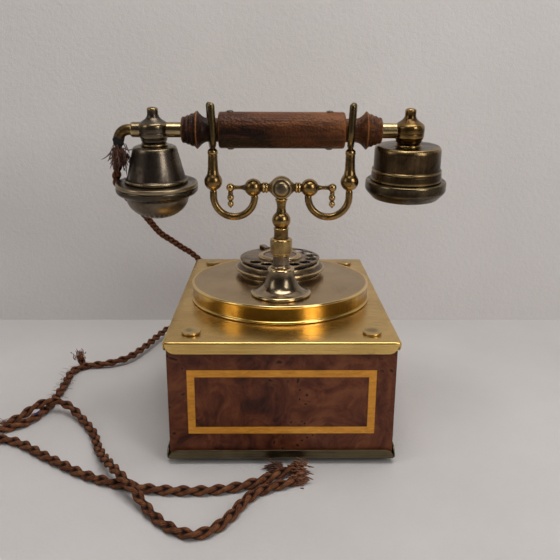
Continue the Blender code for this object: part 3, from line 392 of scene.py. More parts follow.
def tuft(name, root, aim, count, length, spread_out, look, seed, radius=0.00022, bundle=0.0016):
    """A tuft of loose threads: each leaves a bundle near the root, heads for the aim with its own error, and
    bends aside with the square of its length. None goes under the floor."""
    dice = np.random.default_rng(seed)
    start = np.array(root) + dice.normal(0.0, bundle, (count, 3))
    heading = unit(np.array(aim, float) + dice.normal(0.0, spread_out, (count, 3)))
    bend = dice.normal(0.0, 0.30, (count, 3))
    share = np.linspace(0.0, 1.0, 8)[None, :, None]
    size = (length * dice.uniform(0.35, 1.0, count))[:, None, None]
    paths = start[:, None] + size * (heading[:, None] * share + bend[:, None] * share ** 2)
    paths[..., 2] = np.maximum(paths[..., 2], THREAD_FLOOR)
    return threads(name, paths, radius, look)


loose_thread = thin_look("loose_thread", (0.17, 0.062, 0.025))
dark_thread = thin_look("dark_thread", (0.075, 0.026, 0.012))
tape = thin_look("black_tape", (0.006, 0.005, 0.004), 0.85)
blue_wire = thin_look("blue_wire", (0.015, 0.02, 0.16), 0.45)

PLAIT_STEP = 0.0007
handset_path = smooth_route(HANDSET_CORD_ROUTE, PLAIT_STEP)
line_path = smooth_route(LINE_CORD_ROUTE, PLAIT_STEP)
tail_path = smooth_route(TAIL_CORD_ROUTE, PLAIT_STEP)


def sleeve(name, path, start, end, radius, look):
    """A short sleeve of lumpy turns wrapped on a path between two lengths along it, narrowing downwards."""
    reach = reach_along(path)
    share = np.linspace(0.0, 1.0, 24)
    at = start + (end - start) * share
    line = np.stack([np.interp(at, reach, path[:, axis]) for axis in range(3)], axis=1)
    angle = np.linspace(0.0, 2 * math.pi, 40, endpoint=False)
    lumps = 0.05 * np.sin(share[:, None] * 15.0 + 2.0 * angle)
    lumps = lumps + 0.04 * np.sin(3.0 * angle + 9.0 * share[:, None])
    swell = radius * (1.0 - 0.25 * share[:, None] ** 2 + lumps)
    ring = rings(line, ACROSS, np.broadcast_to(angle, (24, 40)), swell)
    return solid(name, pinch(ring).reshape(-1, 3), tube_faces(26, 40), look, sharp=50.0)


handset_cord = plait("handset_cord_plait", handset_path, cotton, ACROSS, HANDSET_CORD_WIDTH,
                     HANDSET_CORD_THICKNESS, HANDSET_STRAND, HANDSET_PERIOD, swell=HANDSET_CORD_SWELL)
under_spout = np.vstack([handset_path[0] + (0.0004, 0.0, 0.0022), handset_path])
top_sleeve = sleeve("handset_cord_tape", under_spout, 0.0, 0.0072, 0.0046, tape)
top_tuft = tuft("handset_cord_tuft", (-0.1312, -0.0490, 0.2400), (0.22, -0.20, -1.0), 150, 0.013, 0.10,
                dark_thread, 11, radius=0.00046, bundle=0.0032)
for part in (top_sleeve, top_tuft):
    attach(part, "handset")
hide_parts("handset_cord")
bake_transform(handset_cord)

line_cord = plait("line_cord_plait", line_path, cotton, UPWARDS, FLOOR_CORD_WIDTH, FLOOR_CORD_THICKNESS,
                  FLOOR_STRAND, FLOOR_PERIOD)
splice = np.linspace((-0.2075, 0.0615, 0.0050), (-0.2105, 0.0630, 0.0150), 16)
line_stub = plait("line_cord_stub", splice, cotton, (0.0, 1.0, 0.0), 0.0076, 0.0066, 0.0019, 0.026)
line_stub_tuft = tuft("line_cord_stub_tuft", (-0.2105, 0.0630, 0.0130), (-0.15, 0.1, 1.0), 120, 0.0034, 0.22,
                      loose_thread, 12, radius=0.00045, bundle=0.0026)
WORN_FROM, WORN_TO, FUZZ_COUNT = 0.300, 0.400, 260
line_reach = reach_along(line_path)
worn_paths = line_path[(line_reach > WORN_FROM) & (line_reach < WORN_TO)][::3]
dice = np.random.default_rng(5)
fuzz_from = worn_paths[dice.integers(0, len(worn_paths), FUZZ_COUNT)]
fuzz_start = fuzz_from + dice.normal(0.0, 0.0021, (FUZZ_COUNT, 3))
fuzz_way = dice.normal(0.0, 1.0, (FUZZ_COUNT, 3)) * (0.0035, 0.0035, 0.002)
fuzz_paths = fuzz_start[:, None] + fuzz_way[:, None] * np.linspace(0.0, 1.0, 6)[None, :, None]
fuzz_paths[..., 2] = np.maximum(fuzz_paths[..., 2], THREAD_FLOOR)
line_fuzz = threads("line_cord_fuzz", fuzz_paths, 0.00014, loose_thread)
line_end = tuft("line_cord_end", (0.0115, -0.1380, 0.0054), (1.0, -0.35, -0.15), 150, 0.0060, 0.13,
                loose_thread, 13, radius=0.00055, bundle=0.0028)
line_strand = tuft("line_cord_loose_strand", (0.0000, -0.1345, 0.0036), (-1.0, 0.05, 0.0), 42, 0.013, 0.045,
                   dark_thread, 16, radius=0.0007, bundle=0.0015)
CORE_FROM, CORE_TO, CORE_LIFT = 0.408, 0.420, 0.0028
core_path = line_path[(line_reach > CORE_FROM) & (line_reach < CORE_TO)][::2]
core_path = core_path + np.array((0.0, 0.0, CORE_LIFT))
line_core = threads("line_cord_core", core_path[None], 0.0008, blue_wire, sides=12)
line_pieces = [line_stub, line_stub_tuft, line_fuzz, line_end, line_strand, line_core]
for part in [line_cord, *line_pieces]:
    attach(part, "base")
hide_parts("line_cord")

tail_cord = plait("tail_cord_plait", tail_path, cotton, UPWARDS, FLOOR_CORD_WIDTH, FLOOR_CORD_THICKNESS,
                  FLOOR_STRAND, FLOOR_PERIOD)
tail_end = tuft("tail_cord_end", (0.0115, -0.1512, 0.0034), (1.0, 0.10, 0.0), 150, 0.0064, 0.13, loose_thread,
                14, radius=0.00055, bundle=0.0026)
tail_start = tuft("tail_cord_start", (-0.2390, -0.0625, 0.0034), (-0.7, -0.8, 0.0), 60, 0.018, 0.25,
                  loose_thread, 15, bundle=0.0018)
for part in (tail_cord, tail_end, tail_start):
    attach(part, "base")
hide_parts("line_cord_tail")

# ---------------------------------------------------------------------------
# Feet: four turned rubber buttons under the corners of the bottom plate, each
# held by the end of a tie bolt.


def soften(profile, cut):
    """A profile with each corner turned into a short curve: a quadratic Bezier that leaves the line a cut's
    length before the corner and joins it again a cut's length after."""
    points = np.asarray(profile, float)
    legs = np.diff(points, axis=0)
    sizes = np.linalg.norm(legs, axis=1, keepdims=True)
    way = legs / sizes
    corner = points[1:-1, None]
    start = corner - (way[:-1] * np.minimum(cut, 0.42 * sizes[:-1]))[:, None]
    end = corner + (way[1:] * np.minimum(cut, 0.42 * sizes[1:]))[:, None]
    t = np.linspace(0.0, 1.0, 4)[None, :, None]
    curve = (1 - t) ** 2 * start + 2 * t * (1 - t) * corner + t ** 2 * end
    return np.vstack([points[:1], curve.reshape(-1, 2), points[-1:]])


def proudness(line, window=1.3):
    """How far a profile stands proud of itself when smoothed over a window, in millimetres: more than nothing
    on a ridge, less in a groove."""
    reach = reach_along(line)
    even = np.linspace(0.0, reach[-1], 600)
    fine = np.stack([np.interp(even, reach, line[:, axis]) for axis in (0, 1)], axis=1)
    step = even[1]
    half = max(int(3 * window / step), 1)
    weight = np.exp(-0.5 * (np.arange(-half, half + 1) * step / window) ** 2)
    weight /= weight.sum()
    padded = np.pad(fine, ((half, half), (0, 0)), "edge")
    smooth = np.stack([np.convolve(padded[:, axis], weight, "valid") for axis in (0, 1)], axis=1)
    way = unit(np.gradient(fine, axis=0))
    height = (fine - smooth)[:, 0] * way[:, 1] - (fine - smooth)[:, 1] * way[:, 0]
    return np.interp(reach, even, height)


def turned(name, profile, place, look, around=96, cut=0.4, closed=False):
    """A lathe-turned piece. Its profile is (radius, height) pairs in millimetres that run up its outer side
    and end on the axis, or close on themselves; the axis is the place's own Z."""
    corners = np.asarray(profile, float)
    if closed:
        middle = (corners[0] + corners[-1]) / 2
        corners = np.vstack([middle, corners, middle])
    line = soften(corners, cut)
    if closed:
        line = line[:-1]
    angle = np.linspace(0.0, 2 * math.pi, around, endpoint=False)
    radius, height = line[:, :1] * MM, line[:, 1:] * MM
    points = np.stack([radius * np.cos(angle), radius * np.sin(angle), height + 0 * angle], axis=-1)
    place = np.array(place)
    points = points.reshape(-1, 3) @ place[:3, :3].T + place[:3, 3]
    marks = {"proud": np.repeat(proudness(line)[:, None], around, 1)}
    return solid(name, points, tube_faces(len(line), around, closed), look, marks)


def fit(made, body, slot, *nodes):
    """A finished piece rides on its body and stands for its frame nodes. The slot is not used."""
    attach(made, body)
    if nodes:
        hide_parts(*nodes)
    return made


def middle_of(node):
    """The middle of a frame node's box."""
    low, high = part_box(node)
    return (low + high) / 2


rubber, tree, shader, place = new_look("dark_rubber", Roughness=0.75)
painted(tree, shader, ramp(tree, noise(tree, place, 150.0, 5.0), (0.3, (0.012, 0.011, 0.010)),
                           (0.8, (0.045, 0.042, 0.038))))
raised(tree, shader, noise(tree, place, 1400.0), 0.0002)
FOOT_PROFILE = [(0, 0), (8.0, 0), (8.7, 0.9), (9.0, 3.5), (8.3, 4.2), (0, 4.2)]
CORNERS = ("front_left", "front_right", "rear_left", "rear_right")
for corner in CORNERS:
    at = middle_of(f"foot_{corner}")
    foot = turned(f"foot_{corner}_turned", FOOT_PROFILE, Matrix.Translation((at.x, at.y, 0)), rubber, 48)
    fit(foot, "base", "dark_rubber", f"foot_{corner}")

# ---------------------------------------------------------------------------
# Bottom and top plates: brass sheet folded over the wooden box, open at the
# corners. The bottom one has gone olive, the top one is brushed lengthways.
plate_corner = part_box("top_plate")[1]
PLATE_HALF = Vector((plate_corner.x / MM, plate_corner.y / MM))
PLATE_BEND = 1.7
PLATE_THICKNESS = 1.2
TOP_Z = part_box("top_plate")[1].z / MM
TOP_LIP, TOP_CORNER = 9.7, 8.2
BOTTOM_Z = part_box("bottom_plate")[0].z / MM
BOTTOM_LIP, BOTTOM_CORNER = 8.1, 6.4


def grid_faces(index):
    """The quads of an open grid of point numbers."""
    return np.stack([index[:-1, :-1], index[1:, :-1], index[1:, 1:], index[:-1, 1:]], axis=-1).reshape(-1, 4)


def folded_plate(name, flat_z, lip, corner, upside_down, look):
    """A flat grid of points with four lips. Each lip starts on the flat's edge, turns down through a quarter
    circle and runs straight; near its free edge its ends draw in along another quarter circle."""
    flat_half = np.array(PLATE_HALF) - PLATE_BEND
    across, along = (np.linspace(-half, half, 41) for half in flat_half)
    flat = np.stack(np.meshgrid(across, along, indexing="ij") + [np.zeros((41, 41))], axis=-1)
    points, faces = [flat.reshape(-1, 3)], [grid_faces(np.arange(41 * 41).reshape(41, 41))]
    marks = [np.stack([flat[..., 0].ravel(), flat[..., 1].ravel()])]
    turn = np.linspace(0.0, math.pi / 2, 8)
    down = np.concatenate([PLATE_BEND * (1 - np.cos(turn)), np.linspace(PLATE_BEND, lip, 22)[1:]])
    out = np.concatenate([PLATE_BEND * np.sin(turn), np.full(21, PLATE_BEND)])
    drawn = corner - np.sqrt(np.maximum(corner ** 2 - np.maximum(down - (lip - corner), 0.0) ** 2, 0.0))
    for quarter in range(4):
        run, reach = (across, flat_half[1]) if quarter % 2 == 0 else (along, flat_half[0])
        x = run[None, :] * ((run[-1] - drawn) / run[-1])[:, None]
        y = -(reach + out)[:, None] + 0 * x
        z = -down[:, None] + 0 * x
        cos, sin = round(math.cos(quarter * math.pi / 2)), round(math.sin(quarter * math.pi / 2))
        lip_points = np.stack([x * cos - y * sin, x * sin + y * cos, z], axis=-1)
        start = sum(len(part) for part in points)
        points.append(lip_points.reshape(-1, 3))
        faces.append(start + grid_faces(np.arange(x.size).reshape(x.shape)))
        marks.append(np.stack([x.ravel(), (reach + out[:, None] + down[:, None] + 0 * x).ravel()]))
    points, faces, marks = np.vstack(points), np.vstack(faces), np.hstack(marks)
    if upside_down:
        points[:, 2] *= -1
        faces = faces[:, ::-1]
    points[:, 2] += flat_z
    made = solid(name, points * MM, faces, look, {"brush_along": marks[0], "brush_across": marks[1]})
    wall = made.modifiers.new("wall", "SOLIDIFY")
    wall.thickness = PLATE_THICKNESS * MM
    wall.offset = -1.0
    edge = made.modifiers.new("edge", "BEVEL")
    edge.width = 0.25 * MM
    edge.segments = 2
    edge.limit_method = "ANGLE"
    edge.angle_limit = math.radians(50)
    return made


def brushed_look(name, low, high, stain, roughness):
    """Brushed brass: long fine strokes along the sheet, faint clouds of tarnish and a few darker stains."""
    look, tree, shader, place = new_look(name, metallic=1.0)
    along, across = (add(tree, "Attribute", {"attribute_name": mark}).outputs["Fac"]
                     for mark in ("brush_along", "brush_across"))
    stroke_place = add(tree, "CombineXYZ", X=calc(tree, "MULTIPLY", along, 0.010), Y=across, Z=0.0).outputs[0]
    strokes = noise(tree, stroke_place, 1.5, 6.0, 0.75)
    fine = noise(tree, stroke_place, 5.0, 3.0, 0.7)
    clouds = noise(tree, place, 26.0, 5.0, 0.6)
    tone = calc(tree, "ADD", calc(tree, "MULTIPLY", strokes, 0.6), calc(tree, "MULTIPLY", clouds, 0.4))
    colour = ramp(tree, tone, (0.40, low), (0.58, high))
    stains = spread(tree, noise(tree, place, 60.0, 6.0, 0.7), 0.60, 0.74, 0.0, 0.65)
    painted(tree, shader, mixed(tree, stains, colour, stain))
    tree.links.new(spread(tree, tone, 0.3, 0.7, roughness + 0.07, roughness - 0.05),
                   shader.inputs["Roughness"])
    raised(tree, shader, fine, 0.00002)
    return look


satin_brass = brushed_look("satin_brass", (0.53, 0.34, 0.105), (0.80, 0.54, 0.185), (0.24, 0.15, 0.05), 0.27)
olive_brass = brushed_look("olive_brass", (0.075, 0.060, 0.034), (0.17, 0.135, 0.078), (0.035, 0.028, 0.018),
                           0.33)
bottom_plate = folded_plate("bottom_plate_folded", BOTTOM_Z, BOTTOM_LIP, BOTTOM_CORNER, True, olive_brass)
fit(bottom_plate, "base", "olive_brass", "bottom_plate")
top_plate = folded_plate("top_plate_folded", TOP_Z, TOP_LIP, TOP_CORNER, False, satin_brass)
fit(top_plate, "base", "satin_brass", "top_plate")

# ---------------------------------------------------------------------------
# Wooden box: four panels veneered in red-brown burl and French polished, each
# with a band of pale yellow wood let into it, mitred at the corners.
look, tree, shader, place = new_look("burl_veneer", Roughness=0.36, Specular_IOR_Level=0.24)
warp = add(tree, "TexNoise", Vector=place, Scale=24.0, Detail=2.0).outputs["Color"]
bent = add(tree, "MixRGB", {"blend_type": "LINEAR_LIGHT"}, Fac=0.016, Color1=place, Color2=warp).outputs[0]
apart = add(tree, "SeparateXYZ", Vector=bent).outputs
sheet = add(tree, "CombineXYZ", X=calc(tree, "ADD", apart["X"], apart["Y"]), Y=apart["Z"]).outputs[0]
knot = add(tree, "TexVoronoi", {"voronoi_dimensions": "2D"}, Vector=sheet, Scale=105.0).outputs["Distance"]
cluster = spread(tree, noise(tree, place, 26.0, 1.0), 0.57, 0.62)
figure = noise(tree, bent, 40.0, 8.0, 0.64, 1.7)
streak = noise(tree, add(tree, "Mapping", Vector=bent, Scale=(30.0, 30.0, 9.0)).outputs[0], 3.2, 5.0, 0.6,
               1.2)
cloud = noise(tree, place, 11.0, 3.0, 0.5)
tone = calc(tree, "ADD", calc(tree, "MULTIPLY", figure, 0.5), calc(tree, "MULTIPLY", streak, 0.25))
tone = calc(tree, "ADD", tone, calc(tree, "MULTIPLY", cloud, 0.25))
wood = ramp(tree, tone, (0.40, (0.030, 0.0068, 0.0036)), (0.475, (0.088, 0.0215, 0.0085)),
            (0.53, (0.128, 0.0345, 0.0132)), (0.61, (0.185, 0.0590, 0.0220)))
halo = calc(tree, "MULTIPLY", cluster, spread(tree, knot, 0.46, 0.14, 0.0, 0.6))
wood = mixed(tree, halo, wood, (0.165, 0.052, 0.020))
eye = calc(tree, "MULTIPLY", cluster, spread(tree, knot, 0.17, 0.08))
wood = mixed(tree, eye, wood, (0.020, 0.0065, 0.0045))
painted(tree, shader, wood)
raised(tree, shader, noise(tree, place, 900.0, 3.0), 0.00003)
burl = look
for node in ("front_panel", "right_panel", "rear_panel", "left_panel"):
    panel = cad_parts[node]
    panel.data.materials.clear()
    panel.data.materials.append(burl)

look, tree, shader, place = new_look("inlay_wood", Roughness=0.36, Specular_IOR_Level=0.3)
grain = noise(tree, add(tree, "Mapping", Vector=place, Scale=(120.0, 120.0, 500.0)).outputs[0], 1.0, 5.0, 0.6,
              0.6)
painted(tree, shader, ramp(tree, calc(tree, "ADD", calc(tree, "MULTIPLY", grain, 0.6),
                               calc(tree, "MULTIPLY", noise(tree, place, 30.0, 3.0), 0.4)),
                    (0.36, (0.50, 0.195, 0.018)), (0.52, (0.68, 0.285, 0.031)), (0.68, (0.80, 0.375, 0.052))))
inlay_wood = look
INLAY_WIDTH, INLAY_LOW, INLAY_HIGH, INLAY_MARGIN = 5.8, 26.3, 80.5, 15.1
INLAY_PROUD, INLAY_SUNK = 0.12, 0.3


def inlay(name, half_run, reach, quarter):
    """A mitred band on a panel: its four corners, each with the same oblong section, joined in a ring."""
    half = half_run - INLAY_MARGIN
    section = [(0.0, -INLAY_SUNK), (0.0, INLAY_PROUD), (INLAY_WIDTH, INLAY_PROUD), (INLAY_WIDTH, -INLAY_SUNK)]
    rows = []
    for side, edge in ((-1, INLAY_LOW), (1, INLAY_LOW), (1, INLAY_HIGH), (-1, INLAY_HIGH)):
        inwards = 1 if edge == INLAY_LOW else -1
        rows.append([(side * (half - wide), -(reach + proud), edge + inwards * wide)
                     for wide, proud in section])
    points = np.array(rows).reshape(-1, 3)
    turn = np.array(Matrix.Rotation(quarter * math.pi / 2, 3, "Z"))
    made = solid(name, points @ turn.T * MM, tube_faces(4, 4, closed=True), inlay_wood, sharp=30.0)
    work = bmesh.new()
    work.from_mesh(made.data)
    bmesh.ops.recalc_face_normals(work, faces=work.faces)
    work.to_mesh(made.data)
    work.free()
    return made


WOOD_HALF_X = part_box("right_panel")[1].x / MM
WOOD_HALF_Y = -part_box("front_panel")[0].y / MM
for quarter, name in enumerate(("front", "right", "rear", "left")):
    run, reach = (WOOD_HALF_X, WOOD_HALF_Y) if quarter % 2 == 0 else (WOOD_HALF_Y, WOOD_HALF_X)
    fit(inlay(f"inlay_{name}", run, reach, quarter), "base", "burl_veneer")

# ---------------------------------------------------------------------------
# Tie bolts: coin-shaped brass heads at the corners of the top plate. Each bolt
# runs down through the box to its foot, and some heads sit a little crooked.


def metal_look(name, dark, body, worn, roughness, cloud=60.0, wear=0.10, streaks=0.0):
    """Aged metal: clouds of tarnish over the body, dirt in the grooves, ridges rubbed bright, fine scratches.
    Streaks are strokes along Z, as polishing leaves them."""
    look, tree, shader, place = new_look(name, metallic=1.0)
    proud = add(tree, "Attribute", {"attribute_name": "proud"}).outputs["Fac"]
    clouds = noise(tree, place, cloud, 6.0, 0.62, 0.4)
    flecks = noise(tree, place, cloud * 9.0, 4.0, 0.7)
    tarnish = calc(tree, "ADD", calc(tree, "MULTIPLY", clouds, 0.90), calc(tree, "MULTIPLY", flecks, 0.10))
    if streaks:
        long_place = add(tree, "Mapping", Vector=place, Scale=(320.0, 320.0, 12.0)).outputs[0]
        long_marks = calc(tree, "MULTIPLY", calc(tree, "SUBTRACT", noise(tree, long_place, 1.0, 3.0), 0.5),
                          streaks)
        tarnish = calc(tree, "ADD", tarnish, long_marks)
    tarnish = calc(tree, "ADD", tarnish, calc(tree, "MULTIPLY", proud, 0.35))
    colour = ramp(tree, tarnish, (0.36, dark), (0.58, body))
    rub = calc(tree, "ADD", proud, calc(tree, "MULTIPLY", calc(tree, "SUBTRACT", clouds, 0.5), 0.35))
    rubbed = spread(tree, rub, wear, wear + 0.22)
    colour = mixed(tree, rubbed, colour, worn)
    painted(tree, shader, colour)
    rough = spread(tree, tarnish, 0.35, 0.65, roughness + 0.10, roughness - 0.05)
    tree.links.new(rough, shader.inputs["Roughness"])
    raised(tree, shader, noise(tree, place, 700.0, 4.0, 0.7), 0.00004)
    return look


coin_brass = metal_look("coin_brass", (0.30, 0.20, 0.08), (0.50, 0.35, 0.14), (0.62, 0.45, 0.20), 0.34)
HEAD_PROFILE = [(0, -0.2), (7.4, -0.2), (7.5, 0.1), (7.5, 1.2), (7.35, 1.4), (0, 1.45)]
HEAD_TILTS = {"front_left": (2.5, 0.0), "front_right": (4.5, -1.0), "rear_left": (-1.0, 1.5),
              "rear_right": (0.5, -1.0)}
for corner in CORNERS:
    low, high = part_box(f"tie_bolt_{corner}")
    over, side = (math.radians(angle) for angle in HEAD_TILTS[corner])
    home = Matrix.Translation(((low.x + high.x) / 2, (low.y + high.y) / 2, high.z - 0.7 * MM))
    place = home @ Matrix.Rotation(over, 4, "X") @ Matrix.Rotation(side, 4, "Y")
    head = turned(f"tie_bolt_head_{corner}", HEAD_PROFILE, place, coin_brass, 72, 0.25)
    fit(head, "base", "satin_brass", f"tie_bolt_{corner}")

# ---------------------------------------------------------------------------
# Drum: a pan of polished brass spun on a lathe, mouth down, with a bead at its
# foot and a rolled top edge. Its top is turned in fine rings.
bright_brass = metal_look("bright_brass", (0.40, 0.23, 0.046), (0.72, 0.45, 0.105), (0.90, 0.66, 0.28), 0.14,
                          cloud=30.0, wear=0.12, streaks=0.10)
look, tree, shader, place = new_look("turned_brass", metallic=1.0)
drum_middle = middle_of("drum")
centred = add(tree, "Mapping", Vector=place, Location=(-drum_middle.x, -drum_middle.y, 0.0)).outputs[0]
flat = add(tree, "Mapping", Vector=centred, Scale=(1.0, 1.0, 0.0)).outputs[0]
distance = add(tree, "VectorMath", {"operation": "LENGTH"}, n0=flat).outputs["Value"]
turn_place = add(tree, "CombineXYZ", X=calc(tree, "MULTIPLY", distance, 1300.0)).outputs[0]
turning = noise(tree, turn_place, 1.0, 3.0, 0.6)
clouds = noise(tree, place, 24.0, 5.0, 0.6)
tone = calc(tree, "ADD", calc(tree, "MULTIPLY", turning, 0.35), calc(tree, "MULTIPLY", clouds, 0.65))
painted(tree, shader, ramp(tree, tone, (0.34, (0.36, 0.245, 0.115)), (0.62, (0.54, 0.385, 0.200))))
tree.links.new(spread(tree, tone, 0.3, 0.7, 0.30, 0.21), shader.inputs["Roughness"])
raised(tree, shader, turning, 0.00004)
turned_brass = look
drum_place = Matrix.Translation((drum_middle.x, drum_middle.y, 0))
drum_side = turned("drum_side", [(76.0, 104.8), (80.2, 104.8), (80.6, 105.3), (80.5, 106.3), (79.8, 106.8),
                                 (79.35, 107.6), (79.3, 117.6), (79.8, 118.3), (79.8, 119.2), (79.2, 119.9),
                                 (78.2, 120.0), (77.4, 119.7), (76.0, 119.6)], drum_place, bright_brass, 200,
                   0.3, closed=True)
fit(drum_side, "base", "bright_brass", "drum")
drum_top = turned("drum_top", [(0, 118.2), (77.5, 118.2), (77.6, 119.6), (76.8, 119.75), (0, 119.85)],
                  drum_place, turned_brass, 160, 0.2)
fit(drum_top, "base", "bright_brass")

# ---------------------------------------------------------------------------
# Dial: a flanged brass case in the drum, a dark number plate, and the finger
# wheel on its shaft, which carries a bezel with a card in it. A bent strip is
# the finger stop.
dial_brass = metal_look("dial_brass", (0.11, 0.078, 0.046), (0.30, 0.215, 0.125), (0.58, 0.43, 0.24), 0.27,
                        wear=0.08)
look, tree, shader, place = new_look("dial_card", Roughness=0.42, Coat_Weight=0.5, Coat_Roughness=0.2)
painted(tree, shader, ramp(tree, noise(tree, place, 160.0, 5.0), (0.3, (0.050, 0.020, 0.016)),
                           (0.75, (0.125, 0.062, 0.050))))
dial_card = look
look, tree, shader, place = new_look("number_enamel", Roughness=0.55, Specular_IOR_Level=0.15)
painted(tree, shader, ramp(tree, noise(tree, place, 120.0, 5.0), (0.3, (0.006, 0.005, 0.004)),
                           (0.8, (0.018, 0.014, 0.012))))
black_enamel = look
dial_middle = middle_of("finger_wheel")
dial_place = Matrix.Translation((dial_middle.x, dial_middle.y, 0))
WHEEL_LOW, WHEEL_TOP = (corner.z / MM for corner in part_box("finger_wheel"))
WHEEL_RADIUS, WHEEL_RIM, WHEEL_INNER, HOLE_RADIUS, HOLE_CIRCLE = 37.3, 36.4, 12.0, 5.3, 30.2
NUMBER_PLATE_TOP = 132.2
HOLE_SPACING = 24
HOLE_ANGLES = [222 + HOLE_SPACING * step for step in range(10)]
case = turned("dial_case_turned", [(33.0, 119.9), (38.2, 119.9), (38.3, 120.6), (37.2, 121.3), (37.2, 123.8),
                                   (38.0, 124.2), (41.0, 124.5), (41.8, 125.1), (41.8, 126.1), (41.2, 126.7),
                                   (38.8, 127.0), (37.0, 127.8), (36.6, 130.2), (36.0, 131.1), (34.4, 131.1),
                                   (33.0, 130.4)], dial_place, dial_brass, 144, 0.3, closed=True)
fit(case, "base", "aged_brass", "dial_case")
number_plate = turned("number_plate_turned", [(0, 131.3), (35.0, 131.3), (35.2, 131.9),
                                              (34.8, NUMBER_PLATE_TOP), (0, NUMBER_PLATE_TOP)], dial_place,
                      black_enamel, 120, 0.2)
fit(number_plate, "base", "dial_card", "number_plate")


def wheel_half(upside_down):
    """One face of the finger wheel. Round each hole the points run from the hole's edge out to the border of
    its 24-degree cell, in equal steps along each ray; the rest is plain cells. The edge and the holes are
    rounded over to the wheel's middle plane."""
    mid, half = (WHEEL_LOW + WHEEL_TOP) / 2, (WHEEL_TOP - WHEEL_LOW) / 2
    steps = 12
    edge = np.linspace(0.0, 1.0, steps, endpoint=False)
    low_r, high_r, cell = WHEEL_INNER, WHEEL_RIM, HOLE_SPACING // 2
    span = math.radians(cell)
    border_a = np.concatenate([span * (2 * edge - 1), np.full(steps, span), span * (1 - 2 * edge),
                               np.full(steps, -span)])
    border_r = np.concatenate([np.full(steps, high_r), high_r + (low_r - high_r) * edge,
                               np.full(steps, low_r), low_r + (high_r - low_r) * edge])
    border = np.stack([border_r * np.cos(border_a), border_r * np.sin(border_a)], axis=-1)
    ray = unit(border - (HOLE_CIRCLE, 0.0))
    share = np.array([0.0, 0.0, 0.06, 0.10, 0.3, 0.65, 1.0])
    drop = np.array([half, half * 0.55, 0.10, 0.0, 0.0, 0.0, 0.0])
    points, faces, count = [], [], 0
    ring = np.stack([np.array((HOLE_CIRCLE, 0.0)) + ray * HOLE_RADIUS * (1 - share[k])
                     + (border - (HOLE_CIRCLE, 0.0)) * share[k] for k in range(len(share))])
    flat = np.concatenate([ring, np.repeat((mid + half - drop)[:, None, None], ring.shape[1], 1)], axis=-1)
    one = tube_faces(len(share), ring.shape[1])
    for degrees in HOLE_ANGLES:
        turn = np.array(Matrix.Rotation(math.radians(degrees), 3, "Z"))
        points.append(flat.reshape(-1, 3) @ turn.T)
        faces.append(one[:, ::-1] + count)
        count += flat.shape[0] * flat.shape[1]
    plain_r = np.concatenate([low_r + (high_r - low_r) * edge, [high_r]])
    plain_a = np.radians(np.arange(HOLE_ANGLES[-1] + cell - 360, HOLE_ANGLES[0] - cell + 1, 2))
    radius, angle = np.meshgrid(plain_r, plain_a, indexing="ij")
    sheet = np.stack([radius * np.cos(angle), radius * np.sin(angle), 0 * angle + mid + half], axis=-1)
    points.append(sheet.reshape(-1, 3))
    faces.append(grid_faces(np.arange(angle.size).reshape(angle.shape)) + count)
    count += angle.size
    around = np.radians(np.arange(HOLE_ANGLES[0] - cell, HOLE_ANGLES[0] - cell + 360, 2))
    over = np.array([(WHEEL_RIM, half), (WHEEL_RADIUS - 0.25, half - 0.05), (WHEEL_RADIUS, half * 0.6),
                     (WHEEL_RADIUS, 0.0)])
    under = np.array([(WHEEL_INNER, 0.0), (WHEEL_INNER, half)])
    for line in (over, under):
        radius, height = line[:, :1], mid + line[:, 1:]
        band = np.stack([radius * np.cos(around), radius * np.sin(around), height + 0 * around], axis=-1)
        points.append(band.reshape(-1, 3))
        faces.append(tube_faces(len(line), len(around))[:, ::-1] + count)
        count += band.shape[0] * band.shape[1]
    points, faces = np.vstack(points), np.vstack(faces)
    if upside_down:
        points[:, 2] = 2 * mid - points[:, 2]
        faces = faces[:, ::-1]
    return points, faces


upper, upper_faces = wheel_half(False)
lower, lower_faces = wheel_half(True)
wheel_points = np.vstack([upper, lower]) * MM + (dial_middle.x, dial_middle.y, 0.0)
wheel = solid("finger_wheel_pierced", wheel_points, np.vstack([upper_faces, lower_faces + len(upper)]),
              dial_brass)
work = bmesh.new()
work.from_mesh(wheel.data)
bmesh.ops.remove_doubles(work, verts=work.verts, dist=0.00002)
bmesh.ops.recalc_face_normals(work, faces=work.faces)
work.to_mesh(wheel.data)
work.free()
fit(wheel, "dial", "aged_brass", "finger_wheel")
bezel = turned("dial_bezel_turned", [(15.2, 135.3), (20.3, 135.3), (20.4, 136.0), (19.7, 137.1),
                                     (18.6, 137.9), (17.4, 138.2), (16.2, 138.0), (15.3, 137.4)], dial_place,
               dial_brass, 120, 0.3, closed=True)
fit(bezel, "dial", "aged_brass", "dial_bezel")
card = turned("number_card_turned", [(0, 135.6), (15.2, 135.6), (15.2, 136.7), (9.0, 137.0), (0, 137.15)],
              dial_place, dial_card, 72, 0.2)
fit(card, "dial", "dial_card", "number_card")

